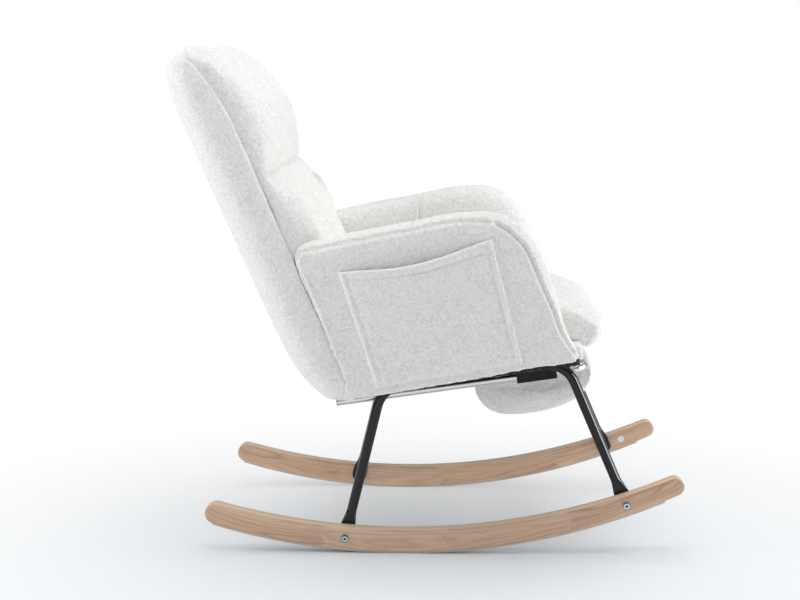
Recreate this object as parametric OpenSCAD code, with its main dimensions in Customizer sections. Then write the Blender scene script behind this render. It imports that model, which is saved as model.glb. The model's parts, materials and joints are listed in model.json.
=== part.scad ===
// Rocking chair on two curved runners, with a padded footrest that slides out and turns over.
// Millimetres, +Z up. The chair faces -Y, X = 0 is its middle plane, and Z = 0 is the floor.
// Pieces are drawn in side frames: x runs forward, y runs up and z runs towards the sitter's right.

/* [Runners] */
// Radius of the arc that rocks on the floor
rocking_r = 1235; // [1180:5:1300]
// Radius of the runner's top edge
runner_top_r = 1290; // [1250:5:1400]
// Tip of the runner in front of the floor contact
runner_front = 533; // [505:1:560]
// Tip of the runner behind the floor contact
runner_rear = 369; // [340:1:390]
// Depth of the wood over the floor contact
runner_depth = 44; // [40:1:52]
// Thickness of the wood
runner_w = 25; // [20:1:32]
// Distance over the outsides of both runners
runner_spread = 465; // [455:1:500]
// Thickness of the anti-slip strip under a runner
strip_t = 2.5; // [1.5:0.5:4]
// Width of the anti-slip strip
strip_w = 20; // [12:1:20]
// How far the strip stops short of each tip
strip_short = 22; // [15:1:60]

/* [Leg frames] */
// Outer diameter of the bent steel tube
leg_d = 19; // [16:0.5:20]
// Wall of the steel tube
leg_wall = 1.5; // [1:0.1:2.5]
// Radius of the bend at the top of each leg
knee_r = 55; // [45:1:65]
// Rear foot bolt behind the floor contact
rear_foot = 103; // [90:1:115]
// Front foot bolt in front of the floor contact
front_foot = 426; // [410:1:440]
// Rear knee behind the seat's reference line
rear_knee = 131; // [120:1:140]
// Front knee in front of the seat's reference line
front_knee = 217; // [205:1:230]
// Width of the flattened foot
foot_w = 30; // [24:1:34]
// Thickness of the flattened foot
foot_t = 5; // [3:0.5:6]
// Shank diameter of the foot bolts
bolt_d = 8; // [6:0.5:10]

/* [Seat] */
// Height of the seat frame's underside at the reference line
seat_h = 346; // [335:1:360]
// Reference line in front of the floor contact
seat_mid = 94; // [85:1:105]
// Slope of the seat, front up, in degrees
seat_tilt = 8.5; // [7:0.5:10]
// Width of the seat cushion
seat_w = 438; // [425:1:440]
// Height of the cushion's crown above the webbing
cushion_h = 95; // [80:1:110]
// Front of the cushion's roll beyond the reference line
seat_front = 303; // [295:1:315]
// Thickness of the plywood rails
rail_t = 24; // [18:1:28]
// Front of the rails beyond the reference line
rail_front = 240; // [230:1:250]

/* [Arms] */
// Thickness of an arm
arm_w = 84; // [75:1:95]
// Length of an arm's side outline
arm_len = 500; // [480:1:520]
// Height of an arm's side outline
arm_rise = 334; // [315:1:350]
// Rear end of the arm's outline behind the reference line
arm_behind = 276; // [266:1:286]
// Lowest point of the arm below the seat height
arm_drop = 26; // [16:1:30]
// Thickness of the plywood panel inside an arm
panel_t = 12; // [9:1:15]
// Gap inside the side pocket
pocket_gap = 8; // [6:1:12]
// Thickness of the pocket's cloth
pocket_t = 4; // [2:0.5:5]

/* [Back] */
// Lean of the back from the vertical, in degrees
back_lean = 23.5; // [21:0.5:26]
// Length of the back along its lean
back_len = 705; // [680:1:730]
// Foot of the back behind the reference line
back_behind = 263; // [258:1:268]
// Foot of the back below the seat height
back_drop = 66; // [61:1:71]
// Half width of the back at its foot
back_half = 303; // [298:1:306]
// Depth of the rear shell
shell_t = 98; // [92:1:104]
// Depth of the quilted front cushion at its crowns
quilt_t = 50; // [40:1:60]
// Radius of the top corners, seen from the front
corner_r = 62; // [50:1:80]

/* [Footrest] */
// Gap between each leg tube and the slide guide beside it
slide_gap = 7.5; // [5:0.5:9]
// Diameter of the chrome rail
slide_d = 16; // [14:0.5:17]
// Depth of the chrome rail's centre below the seat frame
slide_drop = 34; // [32:0.5:37]
// Centre of the front cross bar beyond the reference line
slide_front = 251; // [246:1:256]
// Length of the chrome rail behind the front cross bar
slide_len = 473; // [455:1:485]
// Stop pins in front of the rail's rear end, which sets how far the footrest pulls out
stop_in = 40.5; // [30:0.5:60]
// Length of the footrest pad behind the cross bar
pad_len = 210; // [200:1:216]
// Depth of the footrest pad below the cross bar's centre
pad_depth = 84; // [74:1:90]

/* [Hidden] */
$fn = 64;
arc_steps = 80;
tip_steps = 24;
hull_fn = 32;

// Colours
white_pile = [0.93, 0.93, 0.90];
light_wood = [0.83, 0.70, 0.56];
plywood = [0.80, 0.68, 0.50];
black_steel = [0.06, 0.06, 0.07];
black_cloth = [0.08, 0.08, 0.09];
zinc = [0.75, 0.76, 0.78];
chrome = [0.82, 0.83, 0.85];
strip_grey = [0.62, 0.64, 0.66];

// Clearances and overruns
fit = 0.3;       // between neighbours that must not rub
run_fit = 0.05;  // radial, between the rail and its guide
hole_fit = 0.25; // radial, round a bolt or screw
overrun = 5;     // how far a cut passes a face
clear_all = 900; // reach of a cut that takes everything on one side
slice = 0.5;     // thin end section of a blend
bend_lap = 1;    // a tube's straight runs this far into its bend
bend_swell = 0.05; // a bend is this much fuller in radius than its straights

// Runners: the wood lies between two arcs, and a circle that touches both rounds each tip
wood_r = rocking_r - strip_t;
top_centre_h = strip_t + runner_depth + runner_top_r;
centre_gap = top_centre_h - rocking_r;
arc_sum = runner_top_r + wood_r;
runner_in = runner_spread / 2 - runner_w;
function tip_circle(a) = wood_r - (arc_sum * arc_sum - centre_gap * centre_gap) / (2 * (centre_gap * cos(a) + arc_sum));
function tip_angle(reach) = let (r = tip_circle(asin(reach / wood_r))) asin((reach - r) / (wood_r - r));
function arc_point(r, a) = [r * sin(a), rocking_r - r * cos(a)];
function tip_centre(a) = arc_point(wood_r - tip_circle(a), a);
function runner_mid(x) = (rocking_r - sqrt(wood_r * wood_r - x * x) + top_centre_h
    - sqrt(runner_top_r * runner_top_r - x * x)) / 2;
front_tip_a = tip_angle(runner_front);
rear_tip_a = -tip_angle(runner_rear);
feet = [[-rear_foot, runner_mid(-rear_foot)], [front_foot, runner_mid(front_foot)]];
strip_flat = 38;
marker_d = 14;
marker_t = 0.6;
marker_ahead = 37; // in front of the front foot bolt
washer_d = 17;
washer_t = 1.5;
head_d = 13;
head_h = 3.5;
key_d = 5.8;
nut_d = 13;
nut_h = 8;

// Seat frame: x runs forward and up along the seat, y is square to it
cover_t = 1.5;
plate_t = 3;
plate_l = 50;
plate_w = 52;
weld_sink = 1;
plate_places = [-70, 85]; // along the seat from the reference line
screw_d = 4.5;
screw_in = 6; // from the edge of a plate
screw_head_d = 9;
screw_head_h = 2.5;
screw_l = 18;
leg_n = -(cover_t + plate_t + leg_d / 2 - weld_sink);
leg_z = runner_in - leg_d / 2;
foot_flat = 20;
foot_flare = 50;
vent_d = 5;
rail_edge = 9;  // wood left beyond the slide guides' flanges
rail_out = 240;
cross_rail_w = 45;
strap_w = 50;
strap_t = 2;
strap_count = 4;
strap_lap = 30;
function seat_point(x, y) = [
    seat_mid + x * cos(seat_tilt) - y * sin(seat_tilt),
    seat_h + x * sin(seat_tilt) + y * cos(seat_tilt)
];
knees = [seat_point(-rear_knee, leg_n), seat_point(front_knee, leg_n)];

// Back frame: x runs forward through the back, y runs up its lean
back_from = [seat_mid - back_behind, seat_h - back_drop];
function back_to_side(p) = back_from + [
    p.x * cos(back_lean) - p.y * sin(back_lean),
    p.x * sin(back_lean) + p.y * cos(back_lean)
];
function side_to_back(p) = let (d = p - back_from) [
    d.x * cos(back_lean) + d.y * sin(back_lean),
    d.y * cos(back_lean) - d.x * sin(back_lean)
];
back_turn = back_lean - seat_tilt;
seat_origin_in_back = side_to_back([seat_mid, seat_h]);
// Place along the seat, at height y, that lies at depth x in the back
function seat_at_back(x, y) = (x - seat_origin_in_back.x - y * sin(back_turn)) / cos(back_turn);

// Rear shell, from its foot round the front and over the top, as shares of its depth and of the back's length
shell_shares = [
    [0.39, 0.015], [0.76, -0.006], [1.00, -0.002], [1.00, 0.15], [1.00, 0.29], [1.00, 0.43], [1.00, 0.60], [1.00, 0.76],
    [0.98, 0.80], [0.89, 0.87], [0.77, 0.91], [0.69, 0.945], [0.54, 0.975], [0.34, 0.985], [0.16, 0.960], [0.045, 0.91],
    [0.01, 0.85], [0.00, 0.74], [0.00, 0.63], [0.00, 0.45], [0.00, 0.27], [0.03, 0.17], [0.10, 0.095], [0.25, 0.045]
];
shell_outline = [for (p = shell_shares) [p.x * shell_t, p.y * back_len]];
// Quilted front, from its foot up to the top, as shares of the whole depth and of the back's length
quilt_shares = [
    [0.80, 0.062], [0.93, 0.09], [0.98, 0.15], [0.99, 0.24], [0.99, 0.32], [0.98, 0.38], [0.945, 0.44], [0.895, 0.49],
    [0.84, 0.54], [0.79, 0.58], [0.76, 0.605], [0.83, 0.625], [0.90, 0.66], [0.96, 0.70], [0.99, 0.735], [1.00, 0.77],
    [0.98, 0.815], [0.92, 0.86], [0.80, 0.913], [0.67, 0.952], [0.53, 0.984], [0.42, 1.00]
];
crease_share = 0.605;
quilt_foot_share = 0.06;
quilt_outline = concat(
    [for (p = quilt_shares) [p.x * (shell_t + quilt_t), p.y * back_len]],
    [for (i = [12 : -1 : 3]) shell_outline[i] + [fit, fit]],
    [[shell_t + fit, quilt_foot_share * back_len]]
);
back_taper_share = 0.045;
function back_narrowing(y) = 1 - back_taper_share * y / back_len;
arm_side_gap = 3; // between the arm and what sits between the arms
wing_gap = 7;     // between an arm's top and the quilt that passes over it
arm_in = seat_w / 2 + arm_side_gap;
arm_out = arm_in + arm_w;

// Seat cushion, as shares of its length and crown height; the length runs back from the roll
seat_shares = [
    [0.864, 0.00], [0.868, -0.14], [0.911, -0.21], [0.95, -0.19], [0.978, -0.09], [0.996, 0.06], [1.00, 0.20],
    [0.993, 0.34], [0.974, 0.46], [0.95, 0.55], [0.89, 0.715], [0.80, 0.89], [0.70, 0.96], [0.56, 0.97],
    [0.39, 0.92], [0.21, 0.84], [0.08, 0.79]
];
cushion_foot_n = rail_t + strap_t;
cushion_rear_share = 0.7;
quilt_face = shell_t + quilt_t + fit;
seat_tuck = 10; // of the cushion's outline behind the face of the quilt
seat_len = seat_front + seat_tuck - seat_at_back(quilt_face, cushion_foot_n + cushion_rear_share * cushion_h);

// Arm, as shares of its length and rise
arm_shares = [
    [0.20, 0.01], [0.44, 0.065], [0.66, 0.13], [0.78, 0.17], [0.88, 0.195], [0.965, 0.205], [0.995, 0.22], [1.00, 0.25],
    [0.985, 0.31], [0.965, 0.39], [0.945, 0.50], [0.915, 0.63], [0.88, 0.76], [0.845, 0.86], [0.80, 0.93],
    [0.75, 0.98], [0.69, 1.00], [0.63, 1.00], [0.55, 0.99], [0.41, 0.945], [0.25, 0.90], [0.09, 0.845],
    [0.04, 0.82], [0.01, 0.77], [0.00, 0.71], [0.03, 0.62], [0.07, 0.48], [0.12, 0.29], [0.17, 0.10]
];
arm_core_share = [0.16, 0.05];
// Stations across the arm from its inner face: place, then how full the outline is there
arm_stations_share = [
    [0.00, 0.90, 0.88], [0.03, 0.94, 0.93], [0.10, 0.975, 0.97], [0.26, 1.00, 1.00], [0.74, 1.00, 1.00],
    [0.88, 0.985, 0.98], [0.96, 0.955, 0.94], [1.00, 0.915, 0.89]
];
panel_shares = [[0.20, -0.05], [0.94, 0.10], [0.73, 0.85], [0.60, 0.87], [0.09, 0.72]];
panel_in = rail_out;
pocket_shares = [[0.284, 0.055], [0.815, 0.195], [0.700, 0.868], [0.600, 0.832], [0.150, 0.684]];
pocket_rim = 6;
arm_bolt_places = [-60, 120]; // along the seat from the reference line
arm_bolt_n = 12;
arm_bolt_l = 45;
wing_share = [0.04, 0.82];
function arm_point(share) = [share.x * arm_len - arm_behind + seat_mid, share.y * arm_rise - arm_drop + seat_h];

// Wood frame inside the back
stile_w = 60;
stile_out = 240;
stile_t = 15;
stile_low = 3;
stile_high_share = 0.75;
stile_high = stile_high_share * back_len;
back_rail_w = 60;
back_strap_shares = [0.25, 0.5, 0.75];
back_bolt_places = [150, 215]; // from the middle plane
back_bolt_n = 12;
back_bolt_l = 40;

// Footrest: x runs forward from the cross bar's centre, parallel to the rails
slide_bend_r = 22;
slide_wall = 1.2;
guide_from = 122;
guide_l = 76;
guide_w = 22;
guide_wall = 3;
flange_w = 20;
flange_t = 6;
guide_screw_in = 12; // from each end of the guide
slide_z = leg_z - leg_d / 2 - slide_gap - guide_w / 2;
rail_in = slide_z - guide_w / 2 - flange_w - rail_edge;
pad_side_gap = 20;  // from a rail's centre to the pad
board_side_gap = 12; // from the pad's side to its board
plug_l = 12;
plug_lip = 1;
pin_d = 5;
pin_out = 4;
board_t = 12;
board_half = slide_z - pad_side_gap - board_side_gap;
board_rear = 192;
board_front = 14;
board_top = 8;
pad_half = slide_z - pad_side_gap;
pad_shares = [
    [-0.98, 0.02], [-1.00, -0.15], [-0.995, -0.42], [-0.95, -0.68], [-0.86, -0.88], [-0.73, -0.98], [-0.46, -1.00],
    [-0.24, -0.91], [-0.07, -0.78], [0.04, -0.50], [0.08, -0.12], [0.07, 0.16], [0.04, 0.24], [-0.03, 0.25],
    [-0.09, 0.11]
];
clip_places = [-95, 95];
clip_w = 24;
clip_t = 1.5;
clip_len = 50;
clip_screw_d = 4;
clip_screw_at = [-26, -42];

// The lowest y is the floor, and the middle of the whole length is at Y = 0
rearmost = min([for (p = shell_outline) back_to_side(p).x]);
mid_y = (runner_front + rearmost) / 2;

module in_side_frame() translate([0, mid_y, 0]) rotate([90, 0, -90]) children();
module in_seat_frame() in_side_frame() translate([seat_mid, seat_h, 0]) rotate([0, 0, seat_tilt]) children();
module in_back_frame() in_side_frame() translate([back_from.x, back_from.y, 0]) rotate([0, 0, back_lean]) children();
module in_footrest_frame() in_seat_frame() translate([slide_front, -slide_drop, 0]) children();
module on_left() mirror([1, 0, 0]) children();
module both_sides() {
    children();
    on_left() children();
}
module box(low, high) translate(low) cube(high - low);
module rod_x(at, l, d) translate(at) rotate([0, 90, 0]) cylinder(h = l, d = d);
module rod_y(at, l, d) translate(at) rotate([-90, 0, 0]) cylinder(h = l, d = d);
module rod_z(at, l, d) translate(at) cylinder(h = l, d = d);
module slab(outline, from, to) translate([0, 0, from]) linear_extrude(to - from) polygon(outline);

// A soft solid through rings of equal length; each ring runs anticlockwise seen from +z, and z rises ring by ring
function ring_middle(ring) = [for (k = [0 : 2]) (max([for (p = ring) p[k]]) + min([for (p = ring) p[k]])) / 2];
module soft_solid(rings) {
    n = len(rings[0]);
    last = len(rings) - 1;
    points = concat([for (ring = rings, p = ring) p], [ring_middle(rings[0]), ring_middle(rings[last])]);
    sides = [for (i = [0 : last - 1], j = [0 : n - 1]) let (a = i * n + j, b = i * n + (j + 1) % n)
        each [[a, b + n, b], [a, a + n, b + n]]];
    low_cap = [for (j = [0 : n - 1]) [(last + 1) * n, j, (j + 1) % n]];
    high_cap = [for (j = [0 : n - 1]) [(last + 1) * n + 1, last * n + (j + 1) % n, last * n + j]];
    polyhedron(points = points, faces = concat(sides, low_cap, high_cap), convexity = 6);
}
// Fullness of a quilted column: 1 at its middle, 0 at its seams
column_power = 2.4;
function puff(d) = pow(max(0, 1 - pow(abs(d), column_power)), 1 / column_power);
half_column_shares = [0, 0.03, 0.10, 0.22, 0.38, 0.52, 0.68, 0.82, 0.92, 0.98, 1];
column_shares = concat([for (i = [10 : -1 : 1]) -half_column_shares[i]], half_column_shares);

// Runners
function circle_point(centre, r, a) = centre + [r * cos(a), r * sin(a)];
function steps(from, to, count) = [for (i = [0 : count]) from + (to - from) * i / count];
function tip_points(a, from, to) = [for (t = steps(from, to, tip_steps)) circle_point(tip_centre(a), tip_circle(a), t)];
function top_angle(a) = let (d = [0, top_centre_h] - tip_centre(a)) atan2(d.y, d.x);
module runner_outline() {
    front_top = top_angle(front_tip_a);
    rear_top = top_angle(rear_tip_a);
    under = steps(rear_tip_a, front_tip_a, arc_steps);
    over = steps(front_top - 180, rear_top - 180, arc_steps);
    polygon(concat(
        [for (i = [1 : arc_steps - 1]) arc_point(wood_r, under[i])],
        tip_points(front_tip_a, front_tip_a - 90, front_top),
        [for (i = [1 : arc_steps - 1]) circle_point([0, top_centre_h], runner_top_r, over[i])],
        tip_points(rear_tip_a, rear_top, rear_tip_a + 270)
    ));
}
module runner_right() color(light_wood) in_side_frame() difference() {
    translate([0, 0, runner_in]) linear_extrude(runner_w) runner_outline();
    for (p = feet) rod_z([p.x, p.y, runner_in - overrun], runner_w + 2 * overrun, bolt_d + 2 * hole_fit);
}
module runner_left() on_left() runner_right();
// The strip is stuck on in short flats, so the chair comes to rest on one of them
flat_angle = 2 * atan(strip_flat / 2 / rocking_r);
function flat_count(reach) = round(asin((reach - strip_short) / rocking_r) / flat_angle);
function flat_corners(r) = [for (i = [-flat_count(runner_rear) : flat_count(runner_front)])
    arc_point(r / cos(flat_angle / 2), (i - 1 / 2) * flat_angle)];
module strip_outline() {
    top = flat_corners(wood_r);
    polygon(concat(flat_corners(rocking_r), [for (i = [len(top) - 1 : -1 : 0]) top[i]]));
}
module runner_strip_right() color(strip_grey) in_side_frame()
    translate([0, 0, runner_in + (runner_w - strip_w) / 2]) linear_extrude(strip_w) strip_outline();
module runner_strip_left() on_left() runner_strip_right();
module runner_markers() color("white") both_sides() in_side_frame()
    rod_z([front_foot + marker_ahead, runner_mid(front_foot + marker_ahead), runner_in - marker_t], marker_t, marker_d);

// Leg frames: one bent tube a side, with flattened feet inside the runners and two plates under the seat
module along(from, to) translate([from.x, from.y, 0]) rotate([0, 0, atan2(to.y - from.y, to.x - from.x)]) children();
knee_turn = [for (i = [0, 1]) let (a = feet[i] - knees[i], b = knees[1 - i] - knees[i])
    180 - acos(a * b / (norm(a) * norm(b)))];
knee_reach = [for (turn = knee_turn) knee_r * tan(turn / 2)];
module leg_rods(d, foot_gap) {
    for (i = [0, 1]) along(feet[i], knees[i])
        rod_x([foot_gap, 0, leg_z], norm(knees[i] - feet[i]) - knee_reach[i] + bend_lap - foot_gap, d);
    along(knees[0], knees[1]) rod_x([knee_reach[0] - bend_lap, 0, leg_z],
        norm(knees[1] - knees[0]) - knee_reach[0] - knee_reach[1] + 2 * bend_lap, d);
    along(knees[0], knees[1]) translate([knee_reach[0], -knee_r, leg_z]) rotate([0, 0, 90])
        rotate_extrude(angle = knee_turn[0]) translate([knee_r, 0]) circle(d = d + 2 * bend_swell);
    along(knees[1], knees[0]) translate([knee_reach[1], knee_r, leg_z]) rotate([0, 0, -90 - knee_turn[1]])
        rotate_extrude(angle = knee_turn[1]) translate([knee_r, 0]) circle(d = d + 2 * bend_swell);
}
module leg_foot(i) along(feet[i], knees[i]) {
    rod_z([0, 0, runner_in - foot_t], foot_t, foot_w);
    box([0, -foot_w / 2, runner_in - foot_t], [foot_flat, foot_w / 2, runner_in]);
    hull() {
        box([foot_flat - slice, -foot_w / 2, runner_in - foot_t], [foot_flat, foot_w / 2, runner_in]);
        rod_x([foot_flat + foot_flare, 0, leg_z], slice, leg_d, $fn = hull_fn);
    }
}
module leg_frame_right() color(black_steel) difference() {
    union() {
        in_side_frame() {
            leg_rods(leg_d, foot_flat + foot_flare);
            for (i = [0, 1]) leg_foot(i);
        }
        in_seat_frame() for (x = plate_places)
            box([x - plate_l / 2, -cover_t - plate_t, leg_z - plate_w / 2], [x + plate_l / 2, -cover_t, leg_z + plate_w / 2]);
    }
    in_side_frame() {
        leg_rods(leg_d - 2 * leg_wall, foot_flat + foot_flare + 2 * slice);
        for (p = feet) rod_z([p.x, p.y, runner_in - foot_t - overrun], foot_t + 2 * overrun, bolt_d + 2 * hole_fit);
    }
    in_seat_frame() {
        rod_y([0, leg_n - leg_d, leg_z], leg_d, vent_d);
        plate_screw_places() rod_y([0, -cover_t - plate_t - overrun, 0], plate_t + 2 * overrun, screw_d + 2 * hole_fit);
    }
}
module leg_frame_left() on_left() leg_frame_right();
module plate_screw_places() for (x = plate_places, side = [-1, 1])
    translate([x, 0, leg_z + side * (plate_w / 2 - screw_in)]) children();
module screw(l, d, head_d, head_h) {
    rod_y([0, 0, 0], l, d);
    rod_y([0, -head_h, 0], head_h, head_d);
}
module plate_screws() color(zinc) both_sides() in_seat_frame() plate_screw_places()
    translate([0, -cover_t - plate_t, 0]) screw(screw_l, screw_d, screw_head_d, screw_head_h);

// Foot bolts, from outside the runner to the nut inside the foot
module foot_bolts() color(zinc) both_sides() in_side_frame() for (p = feet) translate([p.x, p.y, 0]) difference() {
    union() {
        rod_z([0, 0, runner_in - foot_t - nut_h], foot_t + nut_h + runner_w + washer_t, bolt_d);
        rod_z([0, 0, runner_in + runner_w + washer_t], head_h, head_d);
    }
    translate([0, 0, runner_in + runner_w + washer_t]) cylinder(h = head_h + overrun, d = key_d, $fn = 6);
}
module foot_washers() color(zinc) both_sides() in_side_frame() for (p = feet) translate([p.x, p.y, 0]) difference() {
    rod_z([0, 0, runner_in + runner_w], washer_t, washer_d);
    rod_z([0, 0, runner_in + runner_w - overrun], washer_t + 2 * overrun, bolt_d + 2 * hole_fit);
}
module foot_nuts() color(zinc) both_sides() in_side_frame() for (p = feet) translate([p.x, p.y, 0]) difference() {
    translate([0, 0, runner_in - foot_t - nut_h]) cylinder(h = nut_h, d = nut_d, $fn = 6);
    rod_z([0, 0, runner_in - foot_t - nut_h - overrun], nut_h + 2 * overrun, bolt_d + 2 * run_fit);
}

// Seat frame
module seat_screw_holes() {
    plate_screw_places() rod_y([0, -overrun, 0], screw_l + overrun, screw_d + 2 * hole_fit);
    guide_screw_places() rod_y([0, -overrun, 0], screw_l + overrun, screw_d + 2 * hole_fit);
}
module seat_rail_right() color(plywood) in_seat_frame() difference() {
    slab([
        [seat_at_back(shell_t, 0), 0], [rail_front, 0], [rail_front, rail_t], [seat_at_back(shell_t, rail_t), rail_t]
    ], rail_in, rail_out);
    seat_screw_holes();
    for (x = arm_bolt_places) rod_z([x, arm_bolt_n, rail_out - arm_bolt_l], arm_bolt_l + overrun, bolt_d + 2 * hole_fit);
    back_bolt_rods(bolt_d + 2 * hole_fit, back_bolt_l + overrun);
}
module seat_rail_left() on_left() seat_rail_right();
module seat_rail_front() color(plywood) in_seat_frame()
    box([rail_front - cross_rail_w, 0, -rail_in], [rail_front, rail_t, rail_in]);
module seat_rail_rear() color(plywood) in_seat_frame() slab([
    [seat_at_back(shell_t, 0), 0], [seat_at_back(shell_t, 0) + cross_rail_w, 0],
    [seat_at_back(shell_t, 0) + cross_rail_w, rail_t], [seat_at_back(shell_t, rail_t), rail_t]
], -rail_in, rail_in);
module seat_webbing() color(black_cloth) in_seat_frame() for (i = [0 : strap_count - 1]) {
    z = (i + 0.5 - strap_count / 2) * 2 * rail_in / strap_count;
    box([seat_at_back(shell_t, 0) + cross_rail_w - strap_lap, rail_t, z - strap_w / 2],
        [rail_front - cross_rail_w + strap_lap, rail_t + strap_t, z + strap_w / 2]);
}
module dust_cover() color(black_cloth) in_seat_frame() difference() {
    box([seat_at_back(shell_t, 0) + cover_t, -cover_t, -panel_in - panel_t], [rail_front, 0, panel_in + panel_t]);
    for (side = [1, -1]) scale([1, 1, side]) seat_screw_holes();
}

// Seat cushion: two columns with a seam between them, and a front roll
seat_seam_share = [0.944, 0.74];
function seat_outline(k) = let (from_x = seat_front - seat_len, kx = seat_seam_share.x + (1 - seat_seam_share.x) * k,
    ky = seat_seam_share.y + (1 - seat_seam_share.y) * k, rear_y = cushion_foot_n + cushion_rear_share * cushion_h * ky)
    concat(
        [for (p = seat_shares) let (x = from_x + p.x * seat_len * kx)
            [p.y > 0 ? x : max(x, rail_front + fit), cushion_foot_n + p.y * cushion_h * ky]],
        [[seat_at_back(quilt_face, rear_y), rear_y], [seat_at_back(quilt_face, cushion_foot_n), cushion_foot_n]]
    );
module seat_cushion() color(white_pile) in_seat_frame() soft_solid([
    for (side = [-1, 1], share = column_shares) if (side > 0 || share < 1)
        let (z = seat_w / 4 * (side + share)) [for (p = seat_outline(puff(share))) [p.x, p.y, z]]
]);

// Arms
function arm_ring(station) = let (core = arm_point(arm_core_share)) [for (s = arm_shares) let (p = arm_point(s))
    [core.x + (p.x - core.x) * station[1], core.y + (p.y - core.y) * station[2], arm_in + station[0] * arm_w]];
module arm_panel_outline() polygon([for (s = panel_shares) arm_point(s)]);
module arm_panel_solid(gap) in_side_frame() translate([0, 0, panel_in - gap]) linear_extrude(panel_t + 2 * gap)
    offset(delta = gap) arm_panel_outline();
module below_seat() in_seat_frame() box([-clear_all, -clear_all, 0], [clear_all, 0, clear_all]);
module behind_back(gap) in_back_frame() box([-clear_all, -clear_all, 0], [shell_t + gap, clear_all, clear_all]);
module arm_panel_right() color(plywood) difference() {
    arm_panel_solid(0);
    below_seat();
    behind_back(0);
    in_seat_frame() for (x = arm_bolt_places) {
        rod_z([x, arm_bolt_n, panel_in - overrun], panel_t + 2 * overrun, bolt_d + 2 * hole_fit);
        rod_z([x, arm_bolt_n, panel_in + panel_t - head_h], head_h + overrun, head_d + 2 * hole_fit);
    }
}
module arm_panel_left() on_left() arm_panel_right();
module arm_right() color(white_pile) difference() {
    in_side_frame() soft_solid([for (s = arm_stations_share) arm_ring(s)]);
    arm_panel_solid(fit);
    behind_back(fit);
    in_seat_frame() box([-clear_all, -clear_all, 0], [rail_front + fit, rail_t + fit, rail_out]);
    in_seat_frame() box([-clear_all, -clear_all, 0], [clear_all, 0, clear_all]);
}
module arm_left() on_left() arm_right();
module arm_bolts() color(zinc) both_sides() in_seat_frame() for (x = arm_bolt_places) {
    rod_z([x, arm_bolt_n, panel_in + panel_t - head_h], head_h, head_d);
    rod_z([x, arm_bolt_n, panel_in - arm_bolt_l + overrun], arm_bolt_l - overrun + panel_t - head_h, bolt_d);
}

// Pocket: a patch stitched along its sides and foot, open along its top
module pocket_right() color(white_pile) in_side_frame() {
    outline = [for (s = pocket_shares) arm_point(s)];
    difference() {
        slab(outline, arm_out, arm_out + pocket_gap + pocket_t);
        translate([0, 0, arm_out - overrun]) linear_extrude(overrun + pocket_gap) difference() {
            polygon([outline[0], outline[1], outline[2] + [0, overrun], outline[3] + [0, overrun], outline[4] + [0, overrun]]);
            for (i = [0, 1, 4]) let (a = outline[i], b = outline[(i + 1) % 5]) along(a, b)
                translate([-overrun, -overrun]) square([norm(b - a) + 2 * overrun, overrun + pocket_rim]);
        }
    }
}
module pocket_left() on_left() pocket_right();

// Frame inside the back, flush with the front of the rear shell
module back_stile_right() color(plywood) in_back_frame() difference() {
    box([shell_t - stile_t, stile_low, stile_out - stile_w], [shell_t, stile_high, stile_out]);
    back_bolt_holes();
}
module back_stile_left() on_left() back_stile_right();
module back_rail_bottom() color(plywood) in_back_frame() difference() {
    box([shell_t - stile_t, stile_low, -(stile_out - stile_w)], [shell_t, stile_low + back_rail_w, stile_out - stile_w]);
    back_bolt_holes();
    mirror([0, 0, 1]) back_bolt_holes();
}
module back_rail_top() color(plywood) in_back_frame()
    box([shell_t - stile_t, stile_high - back_rail_w, -(stile_out - stile_w)], [shell_t, stile_high, stile_out - stile_w]);
module back_webbing() color(black_cloth) in_back_frame() for (share = back_strap_shares)
    translate([0, share * (stile_high - stile_low), 0])
    box([shell_t - stile_t - strap_t, 0, -(stile_out - strap_lap)], [shell_t - stile_t, strap_w, stile_out - strap_lap]);
bolt_in_back = side_to_back(seat_point(seat_at_back(shell_t, back_bolt_n), back_bolt_n));
module back_bolt_holes() for (z = back_bolt_places) {
    rod_x([shell_t - stile_t - overrun, bolt_in_back.y, z], stile_t + 2 * overrun, bolt_d + 2 * hole_fit);
    rod_x([shell_t - stile_t - overrun, bolt_in_back.y, z], overrun + head_h, head_d + 2 * hole_fit);
}
module back_bolt_rods(d, l) for (z = back_bolt_places)
    translate([seat_at_back(shell_t, back_bolt_n), back_bolt_n, z]) rotate([0, 0, back_turn]) rod_x([-overrun, 0, 0], l, d);
module back_bolts() color(zinc) both_sides() {
    in_back_frame() for (z = back_bolt_places) {
        rod_x([shell_t - stile_t, bolt_in_back.y, z], head_h, head_d);
        rod_x([shell_t - stile_t + head_h, bolt_in_back.y, z], stile_t - head_h + back_bolt_l / 2, bolt_d);
    }
}

// Rear shell of the back: rounded rear edges and top corners, with room for the frame
edge_band = 62;
edge_full_share = 0.50;
function corner_drop(z) = let (d = max(0, abs(z) - (back_half - corner_r))) corner_r - sqrt(corner_r * corner_r - d * d);
function rear_full(z) = let (d = max(0, abs(z) - (back_half - edge_band)) / edge_band)
    edge_full_share + (1 - edge_full_share) * sqrt(max(0, 1 - d * d));
function below_corner(y, z) = let (crease_y = crease_share * back_len) y < crease_y ? y
    : crease_y + (y - crease_y) * (1 - corner_drop(z) / (back_len - crease_y));
shell_half_shares = [0, 0.35, 0.71, 0.80, 0.86, 0.91, 0.955, 0.985, 1];
shell_column_shares = concat([for (i = [8 : -1 : 1]) -shell_half_shares[i]], shell_half_shares);
function shell_ring(z) = [for (p = shell_outline) [
    shell_t - (shell_t - p.x) * rear_full(z),
    below_corner(p.y, z),
    z * back_narrowing(p.y)
]];
module back_shell() color(white_pile) in_back_frame() difference() {
    soft_solid([for (s = shell_column_shares) shell_ring(s * back_half)]);
    box([shell_t - stile_t - strap_t - fit, stile_low - fit, -stile_out - fit],
        [shell_t + overrun, stile_high + fit, stile_out + fit]);
}

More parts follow.
